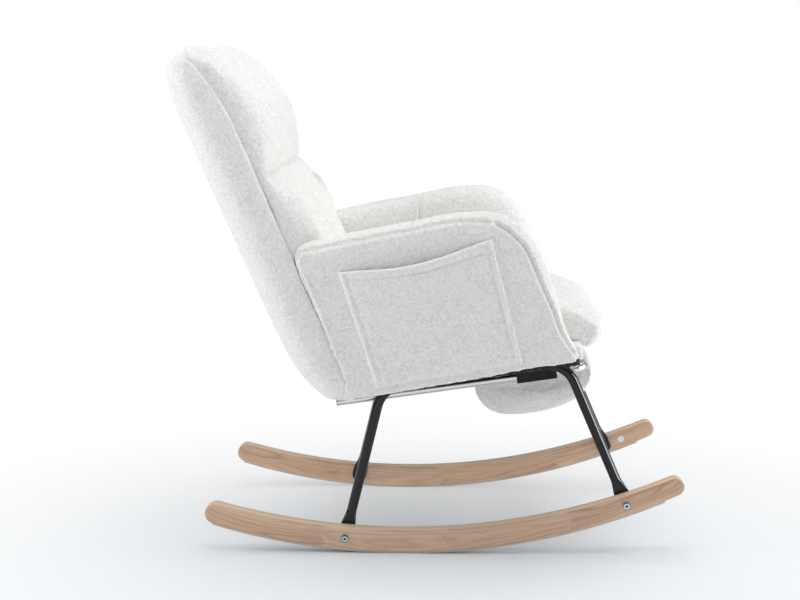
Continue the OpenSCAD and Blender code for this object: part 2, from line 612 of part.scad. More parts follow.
// Quilted front of the back: two columns of two tiles; its wings pass over the arms
quilt_inset = 5; // of the quilted front inside the rear shell, each side
quilt_half = back_half - quilt_inset;
seam_share = 0.42;
wing_from = arm_in - arm_side_gap;
wing_y = side_to_back(arm_point(wing_share)).y + wing_gap;
function quilt_ring(z, d) = let (k = seam_share + (1 - seam_share) * puff(d), crease_y = crease_share * back_len,
    foot_y = quilt_foot_share * back_len, squash = abs(z) > wing_from ? (crease_y - wing_y) / (crease_y - foot_y) : 1)
    [for (p = quilt_outline) let (y = p.y < crease_y ? crease_y - (crease_y - p.y) * squash : p.y) [
        p.x > shell_t + 2 * fit ? shell_t + (p.x - shell_t) * k : p.x,
        below_corner(y, z),
        z * back_narrowing(y)
    ]];
quilt_wing_shares = [0.74, 0.80, 0.86, 0.91, 0.95, 0.98, 1];
quilt_mid_shares = [0, 0.01, 0.04, 0.09, 0.16, 0.26, 0.38, 0.50, 0.60, 0.68];
quilt_places = concat([for (s = quilt_mid_shares) s * quilt_half], [wing_from, wing_from + fit],
    [for (s = quilt_wing_shares) s * quilt_half]);
quilt_last = len(quilt_places) - 1;
quilt_stations = concat([for (i = [quilt_last : -1 : 1]) -quilt_places[i]], quilt_places);
module back_cushion() color(white_pile) in_back_frame()
    soft_solid([for (z = quilt_stations) quilt_ring(z, abs(z) / quilt_half * 2 - 1)]);

// Slide guides for the footrest, screwed under the seat frame
module guide_screw_places() for (x = [guide_screw_in, guide_l - guide_screw_in])
    translate([guide_from + x, 0, slide_z - guide_w / 2 - flange_w / 2]) children();
module slide_guide_right() color(black_cloth) in_seat_frame() difference() {
    union() {
        box([guide_from, -slide_drop - slide_d / 2 - guide_wall, slide_z - guide_w / 2],
            [guide_from + guide_l, -cover_t, slide_z + guide_w / 2]);
        box([guide_from, -cover_t - flange_t, slide_z - guide_w / 2 - flange_w],
            [guide_from + guide_l, -cover_t, slide_z - guide_w / 2]);
    }
    rod_x([guide_from - overrun, -slide_drop, slide_z], guide_l + 2 * overrun, slide_d + 2 * run_fit);
    guide_screw_places() rod_y([0, -cover_t - flange_t - overrun, 0], flange_t + 2 * overrun, screw_d + 2 * hole_fit);
}
module slide_guide_left() on_left() slide_guide_right();
module guide_screws() color(zinc) both_sides() in_seat_frame() guide_screw_places()
    translate([0, -cover_t - flange_t, 0]) screw(screw_l, screw_d, screw_head_d, screw_head_h);

// Footrest tube: a U of chrome tube, open at the rear
module slide_rods(d, rear_gap) {
    for (z = [-slide_z, slide_z]) rod_x([rear_gap - slide_len, 0, z], slide_len - slide_bend_r - rear_gap, d);
    rod_z([0, 0, slide_bend_r - slide_z], 2 * (slide_z - slide_bend_r), d);
    for (side = [-1, 1]) scale([1, 1, side]) translate([-slide_bend_r, 0, slide_z - slide_bend_r]) rotate([90, 0, 0])
        rotate_extrude(angle = 90) translate([slide_bend_r, 0]) circle(d = d);
}
module footrest_tube() color(chrome) in_footrest_frame() difference() {
    slide_rods(slide_d, 0);
    slide_rods(slide_d - 2 * slide_wall, -overrun);
    stop_pin_rods(pin_d + 2 * run_fit);
}
module tube_plugs() color(black_cloth) both_sides() in_footrest_frame() {
    rod_x([-slide_len, 0, slide_z], plug_l, slide_d - 2 * slide_wall - 2 * run_fit);
    rod_x([-slide_len - plug_lip, 0, slide_z], plug_lip, slide_d);
}
stop_x = stop_in - slide_len;
module stop_pin_rods(d) for (side = [-1, 1]) scale([1, 1, side])
    rod_z([stop_x, 0, slide_z - slide_d / 2 - pin_out], pin_out + slide_d / 2, d);
module stop_pins() color(zinc) in_footrest_frame() stop_pin_rods(pin_d);

// Footrest pad, hinged on the cross bar
module footrest_board() color(plywood) in_footrest_frame() difference() {
    box([-board_rear, board_top - board_t, -board_half], [-board_front, board_top, board_half]);
    clip_screw_rods(clip_screw_d + 2 * hole_fit);
}
pad_edge_shares = [[0, 0.89, 0.76], [0.02, 0.94, 0.86], [0.06, 0.98, 0.94], [0.12, 0.995, 0.985], [0.22, 1, 1], [0.5, 1, 1]];
pad_stations = concat(pad_edge_shares, [for (i = [4 : -1 : 0]) [1 - pad_edge_shares[i][0], pad_edge_shares[i][1], pad_edge_shares[i][2]]]);
pad_core = [-board_rear / 2, 0];
module footrest_pad() color(white_pile) in_footrest_frame() difference() {
    soft_solid([for (s = pad_stations) [for (p = pad_shares) let (x = p.x * pad_len, y = p.y * pad_depth) [
        x > -board_front ? x : pad_core.x + (x - pad_core.x) * s[1],
        y * s[2],
        (2 * s[0] - 1) * pad_half
    ]]]);
    rod_z([0, 0, -clear_all / 2], clear_all, slide_d + 4 * fit);
    box([-board_rear - fit, board_top - board_t, -board_half - fit], [-board_front + fit, clear_all, board_half + fit]);
    for (z = clip_places) {
        rod_z([0, 0, z - clip_w / 2 - fit], clip_w + 2 * fit, slide_d + 2 * clip_t + 4 * fit);
        box([-board_front - fit, board_top - board_t, z - clip_w / 2 - fit], [0, clear_all, z + clip_w / 2 + fit]);
    }
}
module hinge_clips() color(zinc) in_footrest_frame() for (z = clip_places) difference() {
    union() {
        rod_z([0, 0, z - clip_w / 2], clip_w, slide_d + 2 * clip_t + 2 * run_fit);
        box([-clip_len, board_top, z - clip_w / 2], [0, board_top + clip_t, z + clip_w / 2]);
    }
    rod_z([0, 0, z - clip_w], 2 * clip_w, slide_d + 2 * run_fit);
    clip_screw_rods(clip_screw_d + 2 * hole_fit);
}
module clip_screw_rods(d) for (x = clip_screw_at, z = clip_places) rod_y([x, board_top - board_t + clip_t, z], board_t, d);
module clip_screws() color(zinc) in_footrest_frame() for (x = clip_screw_at, z = clip_places)
    translate([x, board_top + clip_t, z]) mirror([0, 1, 0]) screw(board_t - clip_t, clip_screw_d, 2 * clip_screw_d, clip_t);

runner_right();
runner_left();
runner_strip_right();
runner_strip_left();
runner_markers();
leg_frame_right();
leg_frame_left();
foot_bolts();
foot_washers();
foot_nuts();
plate_screws();
seat_rail_right();
seat_rail_left();
seat_rail_front();
seat_rail_rear();
seat_webbing();
dust_cover();
seat_cushion();
arm_panel_right();
arm_panel_left();
arm_right();
arm_left();
pocket_right();
pocket_left();
arm_bolts();
back_stile_right();
back_stile_left();
back_rail_top();
back_rail_bottom();
back_webbing();
back_shell();
back_cushion();
back_bolts();
slide_guide_right();
slide_guide_left();
guide_screws();
footrest_tube();
tube_plugs();
stop_pins();
footrest_board();
footrest_pad();
hinge_clips();
clip_screws();
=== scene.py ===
import itertools
import json
import math
import bpy
import numpy as np
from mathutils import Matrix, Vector, kdtree


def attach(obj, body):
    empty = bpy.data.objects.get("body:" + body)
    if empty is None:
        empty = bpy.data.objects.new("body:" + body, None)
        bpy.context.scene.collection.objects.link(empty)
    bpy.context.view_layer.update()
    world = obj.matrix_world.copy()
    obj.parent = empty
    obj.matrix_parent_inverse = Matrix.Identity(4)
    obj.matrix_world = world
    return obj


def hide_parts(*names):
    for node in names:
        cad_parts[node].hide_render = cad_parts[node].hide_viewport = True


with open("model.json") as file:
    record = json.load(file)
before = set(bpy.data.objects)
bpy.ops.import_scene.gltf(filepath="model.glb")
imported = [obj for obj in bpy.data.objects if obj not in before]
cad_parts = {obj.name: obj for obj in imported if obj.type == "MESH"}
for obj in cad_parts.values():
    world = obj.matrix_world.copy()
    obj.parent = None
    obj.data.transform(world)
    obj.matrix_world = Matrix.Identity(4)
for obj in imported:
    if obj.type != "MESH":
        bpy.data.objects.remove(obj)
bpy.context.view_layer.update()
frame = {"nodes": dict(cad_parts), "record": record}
nodes = frame["nodes"]
scene = bpy.context.scene
print("frame loaded:", len(nodes), "solids")

# Where the solids' own frames stand, in millimetres forward of the floor contact and above the floor. The plans of
# the forms are in millimetres, degrees or shares; seams, cloth, voxels, pile, looks and lights are in metres
chairPlan = {
    "midY": 54.2531,
    "seatOrigin": (94.0, 346.0), "seatTilt": 8.5,
    "backOrigin": (-169.0, 280.0), "backLean": 23.5,
    "crossBar": (251.0, -34.0),
}


def rowPoint(u, h, w):
    return Vector((-w, chairPlan["midY"] - u, h)) / 1000


def turned(origin, degrees, x, y):
    a = math.radians(degrees)
    return origin[0] + x * math.cos(a) - y * math.sin(a), origin[1] + x * math.sin(a) + y * math.cos(a)


def seatSide(x, y):
    return turned(chairPlan["seatOrigin"], chairPlan["seatTilt"], x, y)


def backSide(x, y):
    return turned(chairPlan["backOrigin"], chairPlan["backLean"], x, y)


def restSide(x, y):
    return seatSide(chairPlan["crossBar"][0] + x, chairPlan["crossBar"][1] + y)


def seatRow(x, y, w):
    return rowPoint(*seatSide(x, y), w)


def restRow(x, y, w):
    return rowPoint(*restSide(x, y), w)


# A closed smooth line through given points
def smoothLoop(points, count):
    p = np.array(points, float)
    n = len(p)
    dense = []
    for i in range(n):
        a, b, c, d = p[i - 1], p[i], p[(i + 1) % n], p[(i + 2) % n]
        for t in np.linspace(0, 1, 12, endpoint=False):
            dense.append(0.5 * (2 * b + (c - a) * t + (2 * a - 5 * b + 4 * c - d) * t ** 2
                                + (3 * b - a - 3 * c + d) * t ** 3))
    dense = np.array(dense + [dense[0]])
    run = np.concatenate([[0], np.cumsum(np.linalg.norm(np.diff(dense, axis=0), axis=1))])
    at = np.linspace(0, run[-1], count, endpoint=False)
    return np.stack([np.interp(at, run, dense[:, k]) for k in range(2)], 1)


def newPiece(name, points, faces):
    mesh = bpy.data.meshes.new(name)
    mesh.from_pydata([tuple(p) for p in points], [], faces)
    mesh.update()
    piece = bpy.data.objects.new(name, mesh)
    scene.collection.objects.link(piece)
    return piece


def loft(name, rings, closedEnds=True):
    n = len(rings[0])
    points = [p for ring in rings for p in ring]
    faces = [(i * n + j, i * n + (j + 1) % n, (i + 1) * n + (j + 1) % n, (i + 1) * n + j)
             for i in range(len(rings) - 1) for j in range(n)]
    if closedEnds:
        for ring, base, turn in ((rings[0], 0, False), (rings[-1], (len(rings) - 1) * n, True)):
            centre = sum((Vector(p) for p in ring), Vector()) / n
            points.append(centre)
            k = len(points) - 1
            faces += [(base + j, base + (j + 1) % n, k) if turn else (base + (j + 1) % n, base + j, k)
                      for j in range(n)]
    return newPiece(name, points, faces)


def shadeSmooth(piece):
    for f in piece.data.polygons:
        f.use_smooth = True
    return piece


def applyModifiers(piece):
    graph = bpy.context.evaluated_depsgraph_get()
    mesh = bpy.data.meshes.new_from_object(piece.evaluated_get(graph))
    piece.modifiers.clear()
    piece.data = mesh


def remesh(piece, voxel, smoothing=0):
    m = piece.modifiers.new("voxels", "REMESH")
    m.mode = "VOXEL"
    m.voxel_size = voxel
    if smoothing:
        s = piece.modifiers.new("ease", "SMOOTH")
        s.factor = 0.5
        s.iterations = smoothing
    applyModifiers(piece)


def coordinates(piece, field="co"):
    values = np.zeros(len(piece.data.vertices) * 3, np.float32)
    piece.data.vertices.foreach_get(field, values)
    return values.reshape(-1, 3)


def setCoordinates(piece, co):
    piece.data.vertices.foreach_set("co", np.ascontiguousarray(co, np.float32).ravel())
    piece.data.update()


def normals(piece):
    return coordinates(piece, "normal")


def densify(points, step):
    out = [Vector(points[0])]
    for a, b in zip(points, points[1:]):
        a, b = Vector(a), Vector(b)
        k = max(1, int((b - a).length / step))
        out += [a.lerp(b, i / k) for i in range(1, k + 1)]
    return out


def markTree(lines):
    marks = [p for line in lines for p in densify(line, 0.003)]
    tree = kdtree.KDTree(len(marks))
    for i, p in enumerate(marks):
        tree.insert(p, i)
    tree.balance()
    return tree


# A seam: the surface is drawn in along the lines, with a soft ridge on either side
def sew(piece, lines, depth, width, ridge):
    tree = markTree(lines)
    co, no = coordinates(piece), normals(piece)
    reach = width * 4
    for i in range(len(co)):
        d = tree.find(Vector(co[i]))[2]
        if d < reach:
            pull = depth * math.exp(-(d / width) ** 2) - ridge * math.exp(-((d - 2 * width) / width) ** 2)
            co[i] -= no[i] * pull
    setCoordinates(piece, co)


# Padding: the cover is filled with air as a cloth, with its seams held, and may swell only so far
airPlan = {"pressure": 4.0, "shrink": 0.0030, "cap": 0.0080, "inward": 0.0015, "held": 0.007, "ease": 0.030,
           "frames": 20, "mass": 0.3, "bending": 2.0, "quality": 3}


def swell(piece, heldLines=(), share=1.0):
    p = airPlan
    co = coordinates(piece)
    outward = normals(piece)
    loose = np.ones((len(co), 1), np.float32)
    cloth = piece.modifiers.new("air", "CLOTH")
    if heldLines:
        tree = markTree(heldLines)
        away = np.array([tree.find(Vector(q))[2] for q in co])
        loose = np.minimum(1, away / p["ease"]).reshape(-1, 1)
        group = piece.vertex_groups.new(name="held")
        group.add([int(i) for i in np.nonzero(away < p["held"])[0]], 1.0, "REPLACE")
        cloth.settings.vertex_group_mass = "held"
    before = co - outward * p["shrink"] * share * loose
    setCoordinates(piece, before)
    cloth.settings.quality = p["quality"]
    cloth.settings.mass = p["mass"]
    cloth.settings.bending_stiffness = p["bending"]
    cloth.settings.use_pressure = True
    cloth.settings.uniform_pressure_force = p["pressure"]
    cloth.settings.effector_weights.gravity = 0
    cloth.collision_settings.use_collision = False
    cloth.point_cache.frame_end = p["frames"]
    for f in range(1, p["frames"] + 1):
        scene.frame_set(f)
    applyModifiers(piece)
    move = coordinates(piece) - before
    sunk = np.minimum(0.0, (move * outward).sum(axis=1, keepdims=True) + p["inward"])
    move -= outward * sunk
    far = np.linalg.norm(move, axis=1, keepdims=True)
    cap = p["cap"] * share
    setCoordinates(piece, before + move * np.minimum(1.0, cap / np.maximum(far, 1e-9)))
    scene.frame_set(1)
    print("swelled", piece.name, "by up to", round(float(far.max()) * 1000, 1), "mm, cap", round(cap * 1000, 1))


def finishSoft(piece, levels=1):
    m = piece.modifiers.new("round", "SUBSURF")
    m.levels = m.render_levels = levels
    applyModifiers(piece)
    shadeSmooth(piece)


# Curls of the pile as real relief, so that outlines look woolly too
pilePlan = {"curl": 0.0060, "relief": 0.0019, "lump": 0.055, "lumpRelief": 0.0022}


def raisePile(piece, share=1.0):
    for name, size, strength, depth in (("lumps", pilePlan["lump"], pilePlan["lumpRelief"], 1),
                                        ("curls", pilePlan["curl"], pilePlan["relief"], 2)):
        cloud = bpy.data.textures.get(name) or bpy.data.textures.new(name, "CLOUDS")
        cloud.noise_scale = size
        cloud.noise_depth = depth
        cloud.noise_type = "SOFT_NOISE"
        m = piece.modifiers.new(name, "DISPLACE")
        m.texture = cloud
        m.texture_coords = "LOCAL"
        m.strength = strength * share
        m.mid_level = 0.5
    applyModifiers(piece)


def join(piece, other):
    bpy.ops.object.select_all(action="DESELECT")
    other.select_set(True)
    piece.select_set(True)
    bpy.context.view_layer.objects.active = piece
    bpy.ops.object.join()


def mirrored(piece, name):
    twin = bpy.data.objects.new(name, piece.data.copy())
    scene.collection.objects.link(twin)
    co = coordinates(twin)
    co[:, 0] *= -1
    setCoordinates(twin, co)
    twin.data.flip_normals()
    return twin


# Sizes of the voxels that round the soft forms
voxelPlan = {"broad": 0.0055, "small": 0.005, "fine": 0.004}

# Back: rear shell and quilt
backPlan = {
    "shellDepth": 98.0, "quiltDepth": 54.0, "length": 705.0, "half": 303.0, "cornerR": 34.0, "taper": 0.045,
    "edgeBand": 105.0, "edgeFull": 0.40, "crease": 0.605, "quiltInset": 5.0, "quiltFoot": 0.06,
    "wingFrom": 219.0, "wingY": 292.06, "wingPress": 24.0, "seam": 0.08, "crest": 0.76, "tuft": 0.30,
    "edgePower": 2.0, "footPower": 4.4, "hugFrom": 0.20, "hugTo": 0.44, "tuckIn": 4.0, "thin": 9.0,
    "crownFrom": 0.76, "crownTo": 0.95, "crownPower": 2.2, "topDrop": 0.10,
    "core": (0.6, 0.5), "sideTuck": (10.0, 0.93, 0.07), "quiltTuck": (0.75, 0.25), "behind": 0.3,
    "rise": 0.75, "riseTo": 0.45, "tuftTo": 0.28, "wingStep": 0.4,
    "shell": [(0.39, 0.015), (0.76, -0.006), (1.00, -0.002), (1.00, 0.15), (1.00, 0.29), (1.00, 0.43), (1.00, 0.60),
              (1.00, 0.76), (0.98, 0.80), (0.89, 0.87), (0.77, 0.91), (0.69, 0.945), (0.54, 0.975), (0.34, 0.985),
              (0.16, 0.960), (0.045, 0.91), (0.01, 0.85), (0.00, 0.74), (0.00, 0.63), (0.00, 0.45), (0.00, 0.27),
              (0.03, 0.17), (0.10, 0.095), (0.25, 0.045)],
    "quilt": [(0.80, 0.062), (0.93, 0.09), (0.98, 0.15), (0.99, 0.24), (0.99, 0.32), (0.98, 0.38), (0.945, 0.44),
              (0.895, 0.49), (0.84, 0.54), (0.79, 0.58), (0.76, 0.605), (0.83, 0.625), (0.90, 0.66), (0.96, 0.70),
              (0.99, 0.735), (1.00, 0.77), (0.98, 0.815), (0.92, 0.86), (0.80, 0.913), (0.67, 0.952), (0.53, 0.984),
              (0.42, 1.00)],
}


def cornerDrop(w):
    r = backPlan["cornerR"]
    d = max(0.0, abs(w) - (backPlan["half"] - r))
    return r - math.sqrt(max(0.0, r * r - d * d))


def belowCorner(y, w):
    crease = backPlan["crease"] * backPlan["length"]
    if y < crease:
        return y
    return crease + (y - crease) * (1 - cornerDrop(w) / (backPlan["length"] - crease))


def backPoint(x, y, w):
    u, h = backSide(x, belowCorner(y, w))
    return rowPoint(u, h, w * (1 - backPlan["taper"] * y / backPlan["length"]))


def makeShell():
    b = backPlan
    outline = smoothLoop([(x * b["shellDepth"], y * b["length"]) for x, y in b["shell"]], 150)
    core = np.array([b["shellDepth"] * b["core"][0], b["length"] * b["core"][1]])
    deep, tuckFrom, tuckOver = b["sideTuck"]
    rings = []
    for share in np.concatenate([[-1, -0.996, -0.985, -0.965, -0.93], np.linspace(-0.9, 0.9, 37),
                                 [0.93, 0.965, 0.985, 0.996, 1]]):
        w = share * b["half"]
        d = max(0.0, abs(w) - (b["half"] - b["edgeBand"])) / b["edgeBand"]
        full = b["edgeFull"] + (1 - b["edgeFull"]) * math.sqrt(max(0.0, 1 - d * d))
        tuck = deep * max(0.0, (abs(share) - tuckFrom) / tuckOver) ** 2     # the side's edges are soft
        ring = []
        for x, y in outline:
            away = np.array([x, y]) - core
            x, y = np.array([x, y]) - away / (np.linalg.norm(away) + 1e-6) * tuck
            ring.append(backPoint(b["shellDepth"] - (b["shellDepth"] - x) * full, y, w))
        rings.append(ring)
    piece = loft("backShell", rings)
    remesh(piece, voxelPlan["broad"], 6)
    return piece


def eased(value, low, high):
    m = min(1, max(0, (value - low) / (high - low)))
    return m * m * (3 - 2 * m)


def puff(d, power=2.4):
    return max(0.0, 1 - abs(d) ** power) ** (1 / power)


def riseFrom(s, full):
    return math.sin(math.pi / 2 * min(1, s / full)) ** backPlan["rise"]


# Swell of the quilt across its width: tall near its outer edges, low at the middle seam
def tilePuff(share, height):
    b = backPlan
    s = abs(share)
    inner = riseFrom(s, b["riseTo"])
    flat = puff(s * 2 - 1, b["footPower"]) if s > 0.5 else inner
    crown = puff(s * 2 - 1, b["crownPower"]) if s > 0.5 else inner
    if s > b["crest"]:
        hugging = puff((s - b["crest"]) / (1 - b["crest"]), b["edgePower"])
    else:
        hugging = b["tuft"] * riseFrom(s, b["tuftTo"]) + (1 - b["tuft"]) * s / b["crest"]
    swollen = flat + (hugging - flat) * eased(height, b["hugFrom"], b["hugTo"])
    return swollen + (crown - swollen) * eased(height, b["crownFrom"], b["crownTo"])


def makeQuilt():
    b = backPlan
    whole = b["shellDepth"] + b["quiltDepth"]
    outline = [(x * whole, y * b["length"]) for x, y in b["quilt"]]
    outline += [(x * b["shellDepth"] + b["behind"], y * b["length"] + b["behind"]) for x, y in b["shell"][12:2:-1]]
    outline.append((b["shellDepth"] + b["behind"], b["quiltFoot"] * b["length"]))
    outline = smoothLoop(outline, 240)
    half = b["half"] - b["quiltInset"]
    crease = b["crease"] * b["length"]
    foot = b["quiltFoot"] * b["length"]
    rings = []
    shares = sorted(set([0.0, 0.006, 0.015, 0.03] + [round(float(s), 4) for s in np.linspace(0.05, 0.95, 46)]
                        + [0.965, 0.98, 0.99, 1.0, b["wingFrom"] / half, (b["wingFrom"] + b["wingStep"]) / half]))
    tuckFrom, tuckOver = b["quiltTuck"]
    face = b["shellDepth"] + b["thin"]
    top = b["crownFrom"] * b["length"]
    for share in [-s for s in reversed(shares[1:])] + shares:
        w = share * half
        tuck = b["tuckIn"] * max(0.0, (abs(share) - tuckFrom) / tuckOver)      # its edge is sewn into the shell's
        squash = (crease - b["wingY"] + b["wingPress"]) / (crease - foot) if abs(w) > b["wingFrom"] else 1.0
        ring = []
        for x, y in outline:
            if y < crease:
                y = crease - (crease - y) * squash
            k = b["seam"] + (1 - b["seam"]) * tilePuff(w / half, y / b["length"])
            if x > face:
                x = face + (x - face) * k
            elif x <= b["shellDepth"] + 2 * b["behind"]:
                x -= tuck
            if y > top:
                y = top + (y - top) * (1 - b["topDrop"] * (1 - k))
            ring.append(backPoint(x, y, w))
        rings.append(ring)
    piece = loft("backQuilt", rings)
    remesh(piece, voxelPlan["broad"], 4)
    return piece


# Seat cushion
seatPlan = {
    "width": 438.0, "front": 303.0, "length": 461.2, "crown": 95.0, "foot": 26.0, "rearShare": 0.7,
    "railFront": 240.3, "seam": (0.944, 0.74), "quiltFace": 148.3,
    "outline": [(0.864, 0.00), (0.868, -0.14), (0.911, -0.21), (0.95, -0.19), (0.978, -0.09), (0.996, 0.06),
                (1.00, 0.20), (0.993, 0.34), (0.974, 0.46), (0.95, 0.55), (0.89, 0.715), (0.80, 0.89), (0.70, 0.96),
                (0.56, 0.97), (0.39, 0.92), (0.21, 0.84), (0.08, 0.79)],
}


def seatAtBack(x, y):
    turn = math.radians(chairPlan["backLean"] - chairPlan["seatTilt"])
    du = chairPlan["seatOrigin"][0] - chairPlan["backOrigin"][0]
    dh = chairPlan["seatOrigin"][1] - chairPlan["backOrigin"][1]
    a = math.radians(chairPlan["backLean"])
    return (x - (du * math.cos(a) + dh * math.sin(a)) - y * math.sin(turn)) / math.cos(turn)


def makeSeat():
    s = seatPlan
    fromX = s["front"] - s["length"]
    rings = []
    shares = [-1, -0.995, -0.98, -0.95] + list(np.linspace(-0.9, 0.9, 25)) + [0.95, 0.98, 0.995, 1]
    for side, share in [(-1, v) for v in shares[:-1]] + [(1, v) for v in shares]:
        k = puff(share)
        kx = s["seam"][0] + (1 - s["seam"][0]) * k
        ky = s["seam"][1] + (1 - s["seam"][1]) * k
        rearY = s["foot"] + s["rearShare"] * s["crown"] * ky
        pts = [(max(fromX + x * s["length"] * kx, s["railFront"] if y <= 0 else fromX),
                s["foot"] + y * s["crown"] * ky) for x, y in s["outline"]]
        pts += [(seatAtBack(s["quiltFace"], y), y) for y in (rearY, s["foot"])]
        rings.append([seatRow(x, y, s["width"] / 4 * (side + share)) for x, y in smoothLoop(pts, 150)])
    piece = loft("seatCushion", rings)
    remesh(piece, voxelPlan["broad"], 4)
    return piece


# Arms
armPlan = {
    "length": 500.0, "behind": 182.0, "rise": 334.0, "low": 320.0, "inner": 222.0, "width": 84.0, "core": (0.16, 0.05),
    "frontFrom": 0.5, "square": (0.1, 0.55, 0.2),
    "outline": [(0.20, -0.012), (0.44, 0.043), (0.66, 0.108), (0.78, 0.148), (0.88, 0.178), (0.975, 0.195),
                (1.015, 0.215), (1.012, 0.25), (0.989, 0.31), (0.965, 0.39), (0.945, 0.50), (0.915, 0.63), (0.88, 0.76),
                (0.845, 0.86),
                (0.80, 0.93), (0.75, 0.98), (0.69, 1.00), (0.63, 1.00), (0.55, 0.99), (0.41, 0.945), (0.25, 0.90),
                (0.08, 0.845), (0.02, 0.828), (-0.004, 0.79), (0.00, 0.72), (0.03, 0.62), (0.07, 0.48), (0.12, 0.29),
                (0.17, 0.10)],
    "stations": [(0.00, 0.88, 0.85), (0.04, 0.93, 0.91), (0.12, 0.965, 0.955), (0.24, 0.99, 0.983), (0.38, 1.00, 1.00),
                 (0.74, 1.00, 1.00), (0.88, 0.985, 0.98), (0.96, 0.955, 0.94), (1.00, 0.915, 0.89)],
}


def armPoint(x, y, station, fullX, fullY):
    a = armPlan
    foot, over, least = a["square"]
    if x > a["frontFrom"]:                           # the front edge is square to its foot
        fullX = 1 - (1 - fullX) * min(1, max(least, (y - foot) / over))
    u = (a["core"][0] + (x - a["core"][0]) * fullX) * a["length"] - a["behind"]
    h = (a["core"][1] + (y - a["core"][1]) * fullY) * a["rise"] + a["low"]
    return rowPoint(u, h, a["inner"] + station * a["width"])


def sharesAt(table, t):
    at, *columns = zip(*table)
    return [float(np.interp(t, at, column)) for column in columns]


def makeArm(name):
    a = armPlan
    outline = smoothLoop(a["outline"], 170)
    rings = []
    for t in [0.0, 0.008, 0.02, 0.04, 0.07, 0.11, 0.16, 0.22, 0.30, 0.40, 0.50, 0.60, 0.70, 0.76, 0.81, 0.86, 0.90,
              0.93, 0.955, 0.975, 0.99, 1.0]:
        rings.append([armPoint(x, y, t, *sharesAt(a["stations"], t)) for x, y in outline])
    piece = loft(name, rings)
    remesh(piece, voxelPlan["small"], 3)
    return piece


# Footrest pad
padPlan = {
    "length": 210.0, "depth": 84.0, "half": 150.0, "core": -96.0, "front": -14.0,
    "outline": [(-0.98, 0.02), (-1.00, -0.15), (-0.995, -0.42), (-0.95, -0.68), (-0.86, -0.88), (-0.73, -0.98),
                (-0.46, -1.00), (-0.24, -0.91), (-0.07, -0.78), (0.04, -0.50), (0.08, -0.12), (0.07, 0.16),
                (0.04, 0.24), (-0.03, 0.25), (-0.09, 0.11)],
    "edges": [(0, 0.89, 0.76), (0.02, 0.94, 0.86), (0.06, 0.98, 0.94), (0.12, 0.995, 0.985), (0.22, 1, 1), (0.5, 1, 1)],
}


def makePad():
    p = padPlan
    outline = smoothLoop([(x * p["length"], y * p["depth"]) for x, y in p["outline"]], 120)
    rings = []
    for t in np.concatenate([[0, 0.007, 0.015, 0.03, 0.045, 0.06, 0.09, 0.12, 0.17], np.linspace(0.22, 0.78, 13),
                             [0.83, 0.88, 0.91, 0.94, 0.955, 0.97, 0.985, 0.993, 1]]):
        fx, fy = sharesAt(p["edges"], min(t, 1 - t))
        rings.append([restRow(x if x > p["front"] else p["core"] + (x - p["core"]) * fx, y * fy,
                              (2 * t - 1) * p["half"]) for x, y in outline])
    piece = loft("footrestPad", rings)
    remesh(piece, voxelPlan["small"], 4)
    return piece


shell = makeShell()
quilt = makeQuilt()
seat = makeSeat()
armRight = makeArm("armRight")
pad = makePad()
print("soft forms:", len(shell.data.vertices), len(quilt.data.vertices), len(seat.data.vertices),
      len(armRight.data.vertices), len(pad.data.vertices))


# Seams are found by a ray onto the piece
def seamLine(piece, starts, towards):
    casts = [piece.ray_cast(p, Vector(towards).normalized()) for p in starts]
    return [place for hit, place, *rest in casts if hit]


# Depth, width and ridge of each seam, and where the arm's panel and its cross seam lie
seamPlan = {"quilt": (0.0040, 0.0040, 0.0008), "seat": (0.0040, 0.0040, 0.0008), "arm": (0.0042, 0.0034, 0.0022),
            "armSoft": (0.0020, 0.0038, 0.0008), "armSplitSeam": (0.0040, 0.0034, 0.0010),
            "armPanel": 0.955, "armSplit": 0.418, "step": 6}


def seamsOf(piece):
    if piece == quilt:
        return [seamLine(quilt, centre, -toFront), seamLine(quilt, crease, -toFront)]
    return [seamLine(seat, over, -seatUp), seamLine(seat, ahead, -seatOut)]


toFront = rowPoint(*backSide(1, 0), 0) - rowPoint(*backSide(0, 0), 0)
seatUp, seatOut = seatRow(0, 1, 0) - seatRow(0, 0, 0), seatRow(1, 0, 0) - seatRow(0, 0, 0)
step = seamPlan["step"]
centre = [backPoint(400, y, 0) for y in np.arange(50, 700, step)]
crease = [backPoint(400, backPlan["crease"] * backPlan["length"], w) for w in np.arange(-285, 286, step)]
over = [seatRow(x, 300, 0) for x in np.arange(-60, 262, step)]
ahead = [seatRow(500, y, 0) for y in np.arange(95, 10, -step)]
for piece in (quilt, seat):
    swell(piece, seamsOf(piece))
swell(pad, share=0.8)
for piece in (shell, quilt, seat, armRight, pad):
    finishSoft(piece)
sew(quilt, seamsOf(quilt), *seamPlan["quilt"])
sew(seat, seamsOf(seat), *seamPlan["seat"])
loop = smoothLoop(armPlan["outline"], 150)
panelEdge = {"rear": [], "front": [], "over": []}
for x, y in loop:
    side = "rear" if x < 0.19 and y < 0.82 else "front" if x > 0.74 and y > 0.2 else "over" if y > 0.8 else None
    if side:
        panelEdge[side].append(armPoint(x, y, 1.0, seamPlan["armPanel"], seamPlan["armPanel"]) + Vector((-0.2, 0, 0)))
split = [armPoint(seamPlan["armSplit"], y, 0, 1, 1) + Vector((0.2, 0, 0)) for y in np.linspace(0.30, 0.93, 40)]
top = [armPoint(seamPlan["armSplit"], 1.4, t, 1, 1) for t in np.linspace(0.05, 0.85, 16)]
sew(armRight, [seamLine(armRight, panelEdge[k], (1, 0, 0)) for k in ("rear", "front")], *seamPlan["arm"])
sew(armRight, [seamLine(armRight, panelEdge["over"], (1, 0, 0))], *seamPlan["armSoft"])
sew(armRight, [seamLine(armRight, split, (-1, 0, 0)), seamLine(armRight, top, (0, 0, -1))], *seamPlan["armSplitSeam"])
for piece in (shell, quilt, seat, armRight, pad):
    raisePile(piece)
